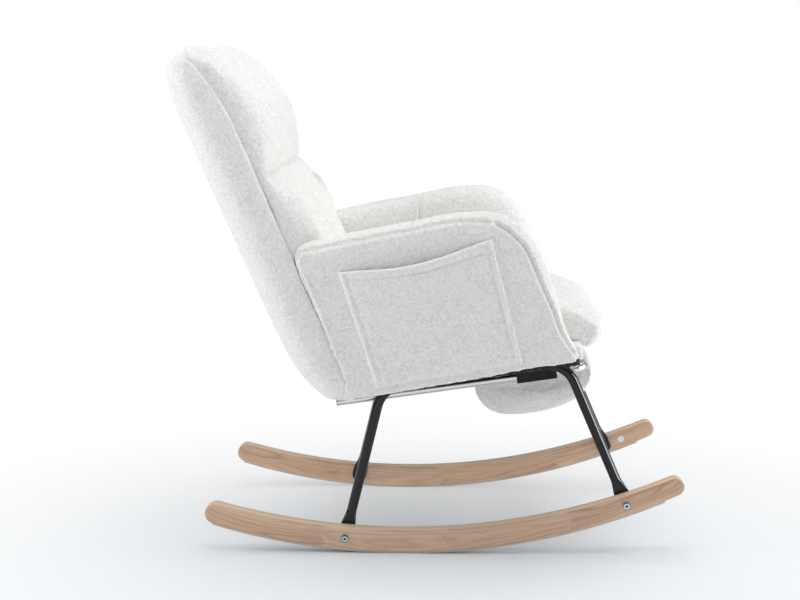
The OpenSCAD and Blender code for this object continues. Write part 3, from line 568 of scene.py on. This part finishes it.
armLeft = mirrored(armRight, "armLeft")


# A thin closed patch from two grids of points, one for each face
def clothPatch(name, face, back, across, along, turnedOver=False):
    n, count = across + 1, len(face)
    cells = [(k, k + n, k + n + 1, k + 1) for j in range(along) for k in range(j * n, j * n + across)]
    cells += [tuple(count + k for k in reversed(f)) for f in cells]
    rim = list(range(n)) + [j * n + across for j in range(1, along + 1)]
    rim += [along * n + i for i in range(across - 1, -1, -1)] + [j * n for j in range(along - 1, 0, -1)]
    cells += [(a, b, count + b, count + a) for a, b in zip(rim, rim[1:] + rim[:1])]
    if turnedOver:
        cells = [f[:1] + f[:0:-1] for f in cells]
    return newPiece(name, face + back, cells)


# Pocket: a patch of the same cloth, stitched at its sides and foot, that gapes a little at its top
pocketPlan = {
    "corners": [(0.284, 0.055), (0.815, 0.195), (0.700, 0.868), (0.150, 0.684)],
    "slack": 14.0, "thick": 5.6, "sewn": 1.2, "hemAt": 0.915, "stitch": 2.9, "welt": 5.5, "groove": 12.0,
    "cut": (0.276, 0.24), "area": 0.062, "grid": 90, "sag": 14.0, "hemWide": 0.014, "stitchWide": 3.4,
    "weltHigh": 1.1, "weltWide": 3.0, "across": 250.0, "edgeRise": (60.0, 25.0, 40.0), "thin": 0.30,
}


def bell(away, wide):
    return math.exp(-(away / wide) ** 2)


def makePocket(name):
    p = pocketPlan
    a = armPlan
    c = [np.array([x * a["length"] - a["behind"], y * a["rise"] + a["low"]]) for x, y in p["corners"]]
    grid = p["grid"]
    sideRise, footRise, mouthRise = p["edgeRise"]
    outer = a["inner"] + a["width"]
    front, rear = [], []
    for j in range(grid + 1):
        v = j / grid
        for i in range(grid + 1):
            t = i / grid
            low = c[0] + (c[1] - c[0]) * t
            high = c[3] + (c[2] - c[3]) * t
            sag = p["sag"] * (math.sin(math.pi * t)) ** 1.5 * v ** 4          # the opening's edge hangs a little
            q = low + (high - low) * v - np.array([0, sag])
            gape = p["slack"] * (math.sin(math.pi * t)) ** 0.8 * v ** 3
            edge = min(1, min(t, 1 - t) * sideRise, v * footRise)
            side = min(t, 1 - t) * p["across"]
            hem = bell(v - p["hemAt"], p["hemWide"])
            stitch = hem + bell(side - p["groove"], p["stitchWide"]) * (v < 0.97)
            welt = p["weltHigh"] * bell(side - p["welt"], p["weltWide"])
            body = p["thin"] + (1 - p["thin"]) * min(edge, (1 - v) * mouthRise + 0.2)
            lift = p["sewn"] + gape + p["thick"] * body + welt - p["stitch"] * min(1, stitch)
            front.append(rowPoint(q[0], q[1], outer + lift))
            rear.append(rowPoint(q[0], q[1], outer + p["sewn"] - 2 + gape))
    return clothPatch(name, front, rear, grid, grid)


pocketRight = makePocket("pocketRight")
finishSoft(pocketRight)
raisePile(pocketRight, 0.8)
pocketLeft = mirrored(pocketRight, "pocketLeft")
print("pile raised")


# Runner: a bar between two arcs, round at both ends, with eased edges
runnerPlan = {"rockR": 1235.0, "strip": 2.5, "depth": 44.0, "topR": 1290.0, "front": 533.0, "rear": 369.0,
              "inner": 207.5, "width": 25.0, "ease": 2.8, "thinned": 12.0, "steps": 110}


def polar(angle):
    return np.array([math.cos(angle), math.sin(angle)])


def runnerChains():
    r = runnerPlan
    woodR = r["rockR"] - r["strip"]
    arcCentre = np.array([0.0, r["rockR"]])
    topCentre = np.array([0.0, r["strip"] + r["depth"] + r["topR"]])
    gap = topCentre[1] - r["rockR"]
    total = r["topR"] + woodR

    def tipCircle(angle):
        return woodR - (total ** 2 - gap ** 2) / (2 * (gap * math.cos(angle) + total))

    def tip(reach):
        c = tipCircle(math.asin(abs(reach) / woodR))
        angle = math.copysign(math.asin((abs(reach) - c) / (woodR - c)), reach)
        c = tipCircle(angle)
        mid = arcCentre + (woodR - c) * np.array([math.sin(angle), -math.cos(angle)])
        up = topCentre - mid
        return angle, c, mid, math.atan2(up[1], up[0])

    bottom, top = [], []

    def addTip(end, low, steps):
        angle, radius, mid, high = end
        low += angle
        outermost = (low + high) / 2
        for t in steps:
            for chain, last in ((bottom, low), (top, high)):
                chain.append(mid + radius * polar(outermost + (last - outermost) * t))

    rear, front = tip(-r["rear"]), tip(r["front"])
    addTip(rear, math.radians(270), [k / 10 for k in range(11)])         # from its end to where it meets the arcs
    for k in range(1, r["steps"]):
        t = k / r["steps"]
        a = rear[0] + (front[0] - rear[0]) * t
        bottom.append(arcCentre + woodR * np.array([math.sin(a), -math.cos(a)]))
        top.append(topCentre + r["topR"] * polar(rear[3] + (front[3] - rear[3]) * t + math.pi))
    addTip(front, math.radians(-90), [1 - k / 10 for k in range(11)])
    return bottom, top


def makeRunner(name):
    r = runnerPlan
    bottom, top = runnerChains()
    rings, grain = [], []
    run, before = 0.0, None
    for low, high in zip(bottom, top):
        mid = (low + high) / 2
        run += 0 if before is None else float(np.linalg.norm(mid - before))
        before = mid
        tall = float(np.linalg.norm(high - low))
        up = (high - low) / tall if tall > 1e-6 else np.array([0.0, 1.0])
        ease = min(r["ease"], tall / 2)
        half = r["width"] / 2 - r["ease"] * max(0.0, 1 - tall / r["thinned"]) ** 2
        corner = [ease * polar(math.radians(t)) for t in (0, 30, 60, 90)]
        rise = [ease + (tall - 2 * ease) * q / 8 for q in range(1, 8)]
        section = [(half - ease + y, ease - x) for x, y in corner] + [(half, v) for v in rise]
        section += [(half - ease + x, tall - ease + y) for x, y in corner]
        section += [(-w, v) for w, v in reversed(section)]
        rings.append([rowPoint(*(low + up * v), r["inner"] + r["width"] / 2 + w) for w, v in section])
        grain.append([(run / 1000, v / 1000, w / 1000) for w, v in section])
    piece = loft(name, rings)
    flat = [g for ring in grain for g in ring] + [grain[0][0], grain[-1][0]]
    place = piece.data.attributes.new("grainPlace", "FLOAT_VECTOR", "POINT")
    place.data.foreach_set("vector", np.array(flat, np.float32).ravel())
    return shadeSmooth(piece)


runnerRight = makeRunner("runnerWoodRight")
runnerLeft = mirrored(runnerRight, "runnerWoodLeft")


# Leg frame: one bent tube whose feet are pressed flat against the runner
legPlan = {
    "feet": [(-103.0, 28.715), (426.0, 98.666)], "knees": [(-33.640, 313.780), (310.538, 365.217)], "kneeR": 55.0,
    "tubeR": 9.5, "centre": 198.0, "footCentre": 205.0, "footHalf": 15.0, "footThick": 2.5, "flat": 10.0, "flare": 38.0,
    "steps": (2.5, 8.0), "sides": 28,
}


# Across a drawn line, at one of its points
def crossing(line, i):
    t = line[min(i + 1, len(line) - 1)] - line[max(i - 1, 0)]
    t /= np.linalg.norm(t)
    return np.array([-t[1], t[0]])


def makeLeg(name):
    p = legPlan
    foot0, foot1 = (np.array(q) for q in p["feet"])
    knee0, knee1 = (np.array(q) for q in p["knees"])

    def bend(a, k, b):
        d0, d1 = (a - k) / np.linalg.norm(a - k), (b - k) / np.linalg.norm(b - k)
        turn = math.pi - math.acos(float(d0 @ d1))
        reach = p["kneeR"] * math.tan(turn / 2)
        start, end = k + d0 * reach, k + d1 * reach
        bis = (d0 + d1) / np.linalg.norm(d0 + d1)
        centre = k + bis * math.hypot(reach, p["kneeR"])
        return [centre + ((start - centre) * math.sin((1 - t) * turn) + (end - centre) * math.sin(t * turn))
                / math.sin(turn) for t in [i / 14 for i in range(15)]]

    def straight(a, b, step):
        n = max(1, int(np.linalg.norm(b - a) / step))
        return [a + (b - a) * i / n for i in range(n + 1)]

    b0, b1 = bend(foot0, knee0, knee1), bend(knee0, knee1, foot1)
    end0, end1 = (foot + (foot - knee) / np.linalg.norm(foot - knee) * p["footHalf"]
                  for foot, knee in ((foot0, knee0), (foot1, knee1)))
    fine, coarse = p["steps"]
    line = straight(end0, b0[0], fine)[:-1] + b0 + straight(b0[-1], b1[0], coarse)[1:-1] + b1
    line = np.array(line + straight(b1[-1], end1, fine)[1:])
    rings = []
    for i, q in enumerate(line):
        across = crossing(line, i)
        fromBolt = min(np.linalg.norm(q - end0), np.linalg.norm(q - end1)) - p["footHalf"]
        m = eased(fromBolt, p["flat"], p["flat"] + p["flare"])
        halfA = p["footHalf"] + (p["tubeR"] - p["footHalf"]) * m
        halfB = p["footThick"] + (p["tubeR"] - p["footThick"]) * m
        mid = p["footCentre"] + (p["centre"] - p["footCentre"]) * m
        if fromBolt < 0:
            halfA = math.sqrt(max(0.6, p["footHalf"] ** 2 - fromBolt ** 2))
        power = 2 / (6 - 4 * m)
        ring = [[math.copysign(abs(v) ** power, v) for v in polar(k * math.tau / p["sides"])]
                for k in range(p["sides"])]
        rings.append([rowPoint(*(q + across * halfA * a), mid + halfB * b) for a, b in ring])
    piece = loft(name, rings)
    return shadeSmooth(piece)


def softBox(name, low, high, ease):
    piece = newPiece(name, [seatRow(*corner) for corner in itertools.product(*zip(low, high))],
                     [(0, 1, 3, 2), (4, 6, 7, 5), (0, 4, 5, 1), (2, 3, 7, 6), (0, 2, 6, 4), (1, 5, 7, 3)])
    m = piece.modifiers.new("ease", "BEVEL")
    m.width = ease / 1000
    m.segments = 3
    applyModifiers(piece)
    return piece


platePlan = {"places": (-70.0, 85.0), "long": 50.0, "sides": (172.0, 224.0), "thick": 3.0, "cover": 1.5, "ease": 0.8}
legRight = makeLeg("legTubeRight")
for x in platePlan["places"]:
    low = (x - platePlan["long"] / 2, -platePlan["cover"] - platePlan["thick"], platePlan["sides"][0])
    high = (x + platePlan["long"] / 2, -platePlan["cover"], platePlan["sides"][1])
    join(legRight, softBox("plate", low, high, platePlan["ease"]))
legLeft = mirrored(legRight, "legTubeLeft")
print("wood and tubes made")


# Footrest tube: two straight rails, two bends and the cross bar
railPlan = {"half": 170.0, "radius": 8.0, "bend": 22.0, "long": 473.0}


def makeRails(name):
    p = railPlan
    line = [(-p["long"], -p["half"]), (-p["long"] / 2, -p["half"])]
    turn = [(-p["bend"] + p["bend"] * math.sin(a), -p["half"] + p["bend"] - p["bend"] * math.cos(a))
            for a in map(math.radians, range(0, 91, 9))]
    line += turn + [(x, -w) for x, w in reversed(turn)] + [(-p["long"] / 2, p["half"]), (-p["long"], p["half"])]
    pts = []
    for a, b in zip(line, line[1:]):
        n = max(1, int(math.dist(a, b) / 30))
        pts += [(a[0] + (b[0] - a[0]) * i / n, a[1] + (b[1] - a[1]) * i / n) for i in range(n)]
    pts = np.array(pts + [line[-1]])
    circle = [p["radius"] * polar(k * math.tau / 32) for k in range(32)]
    rings = []
    for i, q in enumerate(pts):
        across = crossing(pts, i)
        rings.append([restRow(q[0] + across[0] * x, y, q[1] + across[1] * x) for x, y in circle])
    piece = loft(name, rings, closedEnds=False)
    return shadeSmooth(piece)


rails = makeRails("chromeRails")


# Dust cloth under the seat: stapled at its edges, it sags a little between them
clothPlan = {"front": 240.0, "rear": -158.0, "half": 262.0, "thick": 1.0, "sag": 3.5, "fray": 1.6, "hem": (4.0, 10.0),
             "hemWide": 10.0, "under": 0.4}


def makeDustCloth():
    p = clothPlan
    across, along = 72, 100
    top, low = [], []
    for j in range(along + 1):
        for i in range(across + 1):
            s, t = i / across, j / along
            w = (2 * s - 1) * p["half"]
            x = p["rear"] + (p["front"] - p["rear"]) * t
            loose = (math.sin(math.pi * s) * math.sin(math.pi * t)) ** 0.5
            edge = p["fray"] * (math.sin(w * 0.31) + math.sin(w * 0.83 + 1)) * 0.5 if j in (0, along) else 0
            y = -p["under"] - p["sag"] * loose * (0.8 + 0.2 * math.sin(w / 31) * math.cos(x / 27))
            hem = (p["hem"][0] + (p["hem"][1] - p["hem"][0]) * t) * max(0.0, 1 - (p["half"] - abs(w)) / p["hemWide"])
            y -= hem * (0.7 + 0.3 * math.sin(x * 0.21) * math.sin(x * 0.087 + 2) + 0.2 * math.sin(x * 0.53))
            top.append(seatRow(x + edge, y, w))
            low.append(seatRow(x + edge, y - p["thick"], w))
    return clothPatch("dustCloth", top, low, across, along, turnedOver=True)


dustCloth = makeDustCloth()

# Apron: the cover drawn over the front of the seat frame
apronPlan = {"low": (205.0, -5.0, -246.0), "high": (249.0, 28.0, 246.0), "ease": 7.0}
apron = softBox("seatApron", apronPlan["low"], apronPlan["high"], apronPlan["ease"])
remesh(apron, voxelPlan["fine"], 4)
finishSoft(apron)
raisePile(apron, 0.8)
print("cloth made")


# Materials
class Tree:

    def __init__(self, tree):
        self.tree = tree

    def add(self, kind, links=None, **settings):
        node = self.tree.nodes.new(kind)
        for key, value in settings.items():
            setattr(node, key, value)
        for key, value in (links or {}).items():
            if isinstance(value, bpy.types.NodeSocket):
                self.tree.links.new(value, node.inputs[key])
            else:
                node.inputs[key].default_value = value
        return node

    def math(self, kind, a, b=0.0):
        return self.add("ShaderNodeMath", {0: a, 1: b}, operation=kind).outputs[0]

    def spread(self, value, low, high, to0=0.0, to1=1.0):
        return self.add("ShaderNodeMapRange", {0: value, 1: low, 2: high, 3: to0, 4: to1}).outputs[0]

    def vector(self, kind, a, b):
        return self.add("ShaderNodeVectorMath", {0: a, 1: b}, operation=kind).outputs[0]

    def noise(self, at, scale, detail=2.0, roughness=0.5):
        settings = {"Vector": at, "Scale": scale, "Detail": detail, "Roughness": roughness}
        return self.add("ShaderNodeTexNoise", settings).outputs

    def mix(self, share, a, b):
        a, b = (v if isinstance(v, bpy.types.NodeSocket) else (*v, 1) for v in (a, b))
        return self.add("ShaderNodeMix", {0: share, 6: a, 7: b}, data_type="RGBA").outputs[2]

    def place(self):
        return self.add("ShaderNodeTexCoord").outputs["Object"]

    def group(self, made, place, **values):
        return self.add("ShaderNodeGroup", {"Place": place, **values}, node_tree=made).outputs

    def wire(self, a, b):
        self.tree.links.new(a, b)


def newGroup(name, inputs, outputs):
    group = bpy.data.node_groups.new(name, "ShaderNodeTree")
    for label, value in inputs:
        kind = "NodeSocketVector" if value is None else "NodeSocketFloat"
        made = group.interface.new_socket(name=label, in_out="INPUT", socket_type=kind)
        if value is not None:
            made.default_value = value
    for label in outputs:
        group.interface.new_socket(name=label, in_out="OUTPUT", socket_type="NodeSocketFloat")
    return group, Tree(group), group.nodes.new("NodeGroupInput").outputs, group.nodes.new("NodeGroupOutput").inputs


def pileGroup():
    group, t, given, made = newGroup("pileNap", [("Curl", 190.0), ("Place", None)], ["Height", "CreviceShade", "Drift"])
    bend = t.noise(given[1], 95.0, 3.0, 0.6)["Color"]
    shift = t.vector("MULTIPLY", t.vector("SUBTRACT", bend, (0.5, 0.5, 0.5)), (0.016, 0.016, 0.016))
    bent = t.vector("ADD", given[1], shift)
    curls = t.add("ShaderNodeTexVoronoi", {"Vector": bent, "Scale": given[0]}, feature="F1", distance="EUCLIDEAN")
    fine = t.noise(bent, 430.0, 3.0, 0.65)[0]
    broad = t.noise(given[1], 42.0, 4.0, 0.6)[0]
    nub = t.spread(curls.outputs["Distance"], 0.0, 0.75, 1.0, 0.0)
    height = t.math("ADD", t.math("MULTIPLY", nub, 0.45), t.math("MULTIPLY", fine, 0.55))
    t.wire(height, made[0])
    # the second output masks the painted shade between the curls
    t.wire(t.math("MULTIPLY", t.spread(height, 0.46, 0.30), t.spread(broad, 0.42, 0.62, 0.45, 1.0)), made[1])
    t.wire(broad, made[2])
    return group


def newMaterial(name, color, roughness, constants=None):
    material = bpy.data.materials.new(name)
    material.use_nodes = True
    t = Tree(material.node_tree)
    shader = material.node_tree.nodes["Principled BSDF"]
    shader.inputs["Base Color"].default_value = (*color, 1)
    shader.inputs["Roughness"].default_value = roughness
    material.diffuse_color = (*color, 1)
    for key, value in (constants or {}).items():
        shader.inputs[key].default_value = value
    return material, t, shader


def bump(t, shader, height, strength, distance):
    node = t.add("ShaderNodeBump", {"Height": height, "Strength": strength, "Distance": distance})
    t.wire(node.outputs[0], shader.inputs["Normal"])


pileLook = {"white": (0.952, 0.958, 0.936), "shade": (0.895, 0.902, 0.880), "creviceShade": (0.62, 0.625, 0.61),
            "curl": 230.0, "bump": 0.72, "depth": 0.0024, "depths": 0.52, "drift": (0.97, 0.97, 0.955),
            "constants": {"Sheen Weight": 0.15, "Sheen Roughness": 0.5, "Specular IOR Level": 0.15}}
nap = pileGroup()
pile, t, shader = newMaterial("whitePile", pileLook["white"], 0.95, pileLook["constants"])
g = t.group(nap, t.place(), Curl=pileLook["curl"])
# painted shade: the pile's low places take the shade colour and its crevices a darker painted shade, as if shaded
# between the curls
color = t.mix(t.spread(g["Height"], 0.3, 0.75), pileLook["shade"], pileLook["white"])
color = t.mix(t.math("MULTIPLY", g["CreviceShade"], pileLook["depths"]), color, pileLook["creviceShade"])
color = t.mix(t.spread(g["Drift"], 0.3, 0.7, 0.0, 0.10), color, pileLook["drift"])
t.wire(color, shader.inputs["Base Color"])
bump(t, shader, g["Height"], pileLook["bump"], pileLook["depth"])

# the edge colour is painted light, for the runners' faces that look up
woodLook = {"light": (0.74, 0.505, 0.335), "dark": (0.40, 0.215, 0.130), "pore": (0.30, 0.155, 0.095), "stave": 0.235,
            "staveTone": (0.50, 0.285, 0.185), "streak": (0.50, 0.295, 0.19), "pale": (0.80, 0.59, 0.42),
            "edge": (0.90, 0.72, 0.53)}


def grainGroup():
    group, t, given, made = newGroup("woodGrain", [("Place", None), ("Stretch", 21.0)],
                                     ["Line", "Pore", "Drift", "Streak"])
    scale = t.add("ShaderNodeCombineXYZ", {"X": 2.1, "Y": given[1], "Z": given[1]}).outputs[0]
    wave = t.noise(t.vector("MULTIPLY", given[0], scale), 1.0, 2.0, 0.4)[0]
    rings = t.math("FRACT", t.math("MULTIPLY", wave, 13.0))
    line = t.math("POWER", t.math("ABSOLUTE", t.math("SUBTRACT", t.math("MULTIPLY", rings, 2.0), 1.0)), 3.0)
    pore = t.noise(t.vector("MULTIPLY", given[0], (28.0, 950.0, 950.0)), 1.0)[0]
    streak = t.noise(t.vector("MULTIPLY", given[0], (7.0, 260.0, 260.0)), 1.0, 3.0, 0.6)[0]
    for k, value in enumerate((line, t.spread(pore, 0.56, 0.72), wave, t.spread(streak, 0.42, 0.66))):
        t.wire(value, made[k])
    return group


grain = grainGroup()
wood, t, shader = newMaterial("lightWood", woodLook["light"], 0.34, {"Coat Weight": 0.35, "Coat Roughness": 0.18})
along = t.add("ShaderNodeAttribute", attribute_name="grainPlace").outputs["Vector"]
split = t.add("ShaderNodeSeparateXYZ", {0: along})
zigzag = t.math("PINGPONG", split.outputs["Y"], 0.0035)            # finger joints between the staves
stave = t.math("FLOOR", t.math("DIVIDE", t.math("ADD", split.outputs["X"], t.math("MULTIPLY", zigzag, 3.0)),
                               woodLook["stave"]))
shift = t.add("ShaderNodeCombineXYZ", {"X": t.math("MULTIPLY", stave, 3.7), "Y": t.math("MULTIPLY", stave, 0.137)})
tone = t.add("ShaderNodeTexWhiteNoise", {"W": stave}, noise_dimensions="1D").outputs["Value"]
g = t.group(grain, t.vector("ADD", along, shift.outputs[0]))
color = t.mix(t.math("MULTIPLY", g["Line"], 0.85), woodLook["light"], woodLook["dark"])
color = t.mix(t.math("MULTIPLY", g["Streak"], 0.75), color, woodLook["streak"])
color = t.mix(t.math("MULTIPLY", g["Pore"], 0.6), color, woodLook["pore"])
color = t.mix(t.spread(tone, 0.0, 1.0, 0.0, 0.30), color, woodLook["staveTone"])
color = t.mix(t.spread(g["Drift"], 0.40, 0.65, 0.0, 0.35), color, woodLook["pale"])
# painted light: faces that look up are mixed towards the pale edge colour, as if lit from above
topLightShare = t.add("ShaderNodeSeparateXYZ", {0: t.add("ShaderNodeTexCoord").outputs["Normal"]}).outputs["Z"]
color = t.mix(t.spread(topLightShare, 0.5, 0.95, 0.0, 0.6), color, woodLook["edge"])
t.wire(color, shader.inputs["Base Color"])
t.wire(t.spread(g["Pore"], 0.0, 1.0, 0.32, 0.5), shader.inputs["Roughness"])
bump(t, shader, g["Pore"], 0.12, -0.0004)

plywood, t, shader = newMaterial("plywoodBoard", (0.55, 0.40, 0.26), 0.7)
g = t.group(grain, t.place(), Stretch=60.0)
color = t.mix(t.math("MULTIPLY", g["Line"], 0.5), (0.56, 0.42, 0.28), (0.42, 0.28, 0.17))
t.wire(color, shader.inputs["Base Color"])
bump(t, shader, g["Pore"], 0.2, -0.0004)


def speckleGroup():
    group, t, given, made = newGroup("surfaceGrain", [("Place", None), ("Scale", 300.0)], ["Fine", "Smudge"])
    t.wire(t.noise(given[0], given[1], 3.0)[0], made[0])
    t.wire(t.noise(given[0], 14.0, 5.0, 0.6)[0], made[1])
    return group


speckle = speckleGroup()


def hardMaterial(name, color, rough, roughTo, relief, distance, scale, tint, constants=None):
    material, t, shader = newMaterial(name, color, rough, constants)
    g = t.group(speckle, t.place(), Scale=scale)
    t.wire(t.spread(g["Smudge"], 0.3, 0.7, rough, roughTo), shader.inputs["Roughness"])
    lighter = tuple(min(1.0, c * (1 + tint) + tint * 0.02) for c in color)
    t.wire(t.mix(t.spread(g["Fine"], 0.35, 0.65), color, lighter), shader.inputs["Base Color"])
    bump(t, shader, g["Fine"], relief, distance)
    return material


# Name, colour, roughness from and to, relief, its depth, size of the grain, tint and constants of each hard finish
hardLooks = {
    "black_steel": ("blackSteel", (0.003, 0.004, 0.006), 0.07, 0.11, 0.01, 0.0001, 260.0, 0.05,
                    {"Specular IOR Level": 0.40}),
    "chrome_tube": ("chromeTube", (0.72, 0.72, 0.73), 0.10, 0.18, 0.02, 0.0001, 400.0, 0.03, {"Metallic": 1.0}),
    "zinc_steel": ("zincSteel", (0.40, 0.41, 0.42), 0.30, 0.42, 0.08, 0.0001, 700.0, 0.10, {"Metallic": 1.0}),
    "black_plastic": ("blackPlastic", (0.005, 0.006, 0.009), 0.42, 0.55, 0.15, 0.0003, 900.0, 0.4,
                      {"Specular IOR Level": 0.25}),
    "strip_rubber": ("stripRubber", (0.50, 0.50, 0.49), 0.70, 0.85, 0.2, 0.0003, 500.0, 0.2),
    "white_plastic": ("whitePlastic", (0.80, 0.80, 0.79), 0.35, 0.45, 0.05, 0.0002, 500.0, 0.03),
}
slotLooks = {slot: hardMaterial(*look) for slot, look in hardLooks.items()}

# Runner bolts: a bright metal face, with painted shade in the socket and a painted shadow ring at the rim, by the
# distance from each bolt's middle
boltPlan = {"socket": 0.0023, "face": 0.0056, "bright": (0.62, 0.65, 0.68), "dark": (0.012, 0.013, 0.015),
            "rough": (0.28, 0.40), "blur": (0.0003, 0.0004)}
boltSteel, t, shader = newMaterial("boltSteel", boltPlan["bright"], 0.30)
across = t.add("ShaderNodeSeparateXYZ", {0: t.place()})
reach = []
for u, h in legPlan["feet"]:
    middle = rowPoint(u, h, 0)
    dy, dz = t.math("SUBTRACT", across.outputs["Y"], middle.y), t.math("SUBTRACT", across.outputs["Z"], middle.z)
    reach.append(t.math("SQRT", t.math("ADD", t.math("MULTIPLY", dy, dy), t.math("MULTIPLY", dz, dz))))
near = t.math("MINIMUM", reach[0], reach[1])
face = t.math("MULTIPLY", t.spread(near, boltPlan["socket"], boltPlan["socket"] + boltPlan["blur"][0]),
              t.spread(near, boltPlan["face"] + boltPlan["blur"][1], boltPlan["face"]))
# the dark colour is painted shade, in the socket and round the rim
t.wire(t.mix(face, boltPlan["dark"], boltPlan["bright"]), shader.inputs["Base Color"])
t.wire(face, shader.inputs["Metallic"])
g = t.group(speckle, t.place(), Scale=700.0)
t.wire(t.spread(g["Smudge"], 0.3, 0.7, *boltPlan["rough"]), shader.inputs["Roughness"])
bump(t, shader, g["Fine"], 0.06, 0.0001)

blackCloth, t, shader = newMaterial("blackCloth", (0.012, 0.012, 0.013), 0.9, {"Sheen Weight": 0.15})
at = t.place()
threads = [t.add("ShaderNodeTexWave", {"Vector": at, "Scale": 380.0}, wave_type="BANDS", bands_direction=way).outputs[1]
           for way in "XY"]
weave = t.math("MAXIMUM", *threads)
t.wire(t.mix(weave, (0.007, 0.007, 0.008), (0.022, 0.022, 0.024)), shader.inputs["Base Color"])
bump(t, shader, weave, 0.35, 0.0004)
print("materials made")


# Which finish each solid of the frame takes
slotLooks.update(white_pile=pile, light_wood=wood, plywood=plywood, black_cloth=blackCloth)
for entry in frame["record"]["subparts"]:
    solid = nodes[entry["node"]]
    look = boltSteel if entry["node"] == "foot_bolts" else slotLooks[entry["material_slot"]]
    if not solid.data.materials:
        solid.data.materials.append(look)
    for k in range(len(solid.data.materials)):
        solid.data.materials[k] = look

# Each piece: its slot, body and the solids that it stands for
pieces = [
    (shell, "white_pile", "chair", ["back_shell"]), (quilt, "white_pile", "chair", ["back_cushion"]),
    (seat, "white_pile", "chair", ["seat_cushion"]), (armRight, "white_pile", "chair", ["arm_right"]),
    (armLeft, "white_pile", "chair", ["arm_left"]), (pad, "white_pile", "footrest_leaf", ["footrest_pad"]),
    (pocketRight, "white_pile", "chair", ["pocket_right"]), (pocketLeft, "white_pile", "chair", ["pocket_left"]),
    (apron, "white_pile", "chair", []),
    (runnerRight, "light_wood", "chair", ["runner_right"]), (runnerLeft, "light_wood", "chair", ["runner_left"]),
    (legRight, "black_steel", "chair", ["leg_frame_right"]), (legLeft, "black_steel", "chair", ["leg_frame_left"]),
    (rails, "chrome_tube", "footrest_frame", ["footrest_tube"]), (dustCloth, "black_cloth", "chair", ["dust_cover"]),
]
for piece, slotName, body, stands in pieces:
    piece.data.materials.clear()
    piece.data.materials.append(slotLooks[slotName])
    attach(piece, body)
    if stands:
        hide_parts(*stands)
print("pieces attached")


# Stage: floor, light, camera
stagePlan = {"floor": 9.0, "near": (0.88, 0.92, 0.955), "middle": (-0.40, 0.0), "clearFrom": 0.35, "clearTo": 1.25,
             "ambient": 0.28}
floor = newPiece("floorSheet", [(x * stagePlan["floor"], y * stagePlan["floor"], 0)
                                for x, y in ((-1, -1), (1, -1), (1, 1), (-1, 1))], [(0, 1, 2, 3)])
floorLook, t, shader = newMaterial("paleFloor", stagePlan["near"], 0.75)
# painted light: the floor glows white away from the chair and fades to the lit floor near it, painting a soft pool of
# shade round the chair, centred a little to the camera's side
off = t.vector("SUBTRACT", t.place(), (*stagePlan["middle"], 0))
far = t.add("ShaderNodeVectorMath", {0: off}, operation="LENGTH").outputs["Value"]
share = t.spread(far, stagePlan["clearFrom"], stagePlan["clearTo"])
glow = t.add("ShaderNodeEmission", {"Color": (1, 1, 1, 1), "Strength": 1.0})
blend = t.add("ShaderNodeMixShader", {0: share, 1: shader.outputs[0], 2: glow.outputs[0]})
t.wire(blend.outputs[0], floorLook.node_tree.nodes["Material Output"].inputs[0])
floor.data.materials.append(floorLook)

scene.world = world = bpy.data.worlds.new("studio")
world.use_nodes = True
t = Tree(world.node_tree)
back = world.node_tree.nodes["Background"]
seen = t.add("ShaderNodeLightPath").outputs["Is Camera Ray"]          # the camera sees plain white, the chair gets less
t.wire(t.spread(seen, 0.0, 1.0, stagePlan["ambient"], 1.0), back.inputs["Strength"])
back.inputs["Color"].default_value = (1, 1, 1, 1)

lights = {
    "frontSoft": {"at": (0.9, -2.6, 1.7), "to": (0, 0, 0.5), "size": 2.0, "power": 5},
    "rearSoft": {"at": (-0.6, 2.8, 1.7), "to": (0, 0, 0.5), "size": 2.0, "power": 40},
    "lowFront": {"at": (-0.2, -2.6, 0.6), "to": (0, 0, 0.35), "size": 1.2, "power": 31},
    "strip": {"at": (-2.3, 1.75, 0.8), "to": (0, 0, 0.3), "size": 0.16, "tall": 1.7, "power": 3.5},
    "glossFront": {"at": (-1.15, -2.55, 0.55), "to": (-0.2, -0.1, 0.25), "size": 0.55, "tall": 1.9, "power": 70,
                   "glossOnly": True},                   # seen in gloss alone
    "above": {"at": (-0.1, 0.0, 3.0), "to": (0, 0, 0.4), "size": 2.4, "power": 46},
}


def aimed(name, data, at, towards):
    holder = bpy.data.objects.new(name, data)
    holder.location = at
    holder.rotation_euler = Vector(towards).to_track_quat("-Z", "Y").to_euler()
    scene.collection.objects.link(holder)
    return holder


for name, plan in lights.items():
    lamp = bpy.data.lights.new(name, "AREA")
    lamp.size = plan["size"]
    if "tall" in plan:
        lamp.shape = "RECTANGLE"
        lamp.size_y = plan["tall"]
    lamp.energy = plan["power"]
    holder = aimed(name, lamp, plan["at"], Vector(plan["to"]) - Vector(plan["at"]))
    holder.visible_diffuse = not plan.get("glossOnly", False)

cameraPlan = {"at": (-2.956, -0.04455, 0.9353), "towards": (0.9861, 0.0353, -0.1624), "lens": 67.5, "sensor": 36}
camera = bpy.data.cameras.new("photoCamera")
camera.lens, camera.sensor_width = cameraPlan["lens"], cameraPlan["sensor"]
scene.camera = aimed("photoCamera", camera, cameraPlan["at"], cameraPlan["towards"])
scene.view_settings.view_transform = "Standard"
print("stage set")
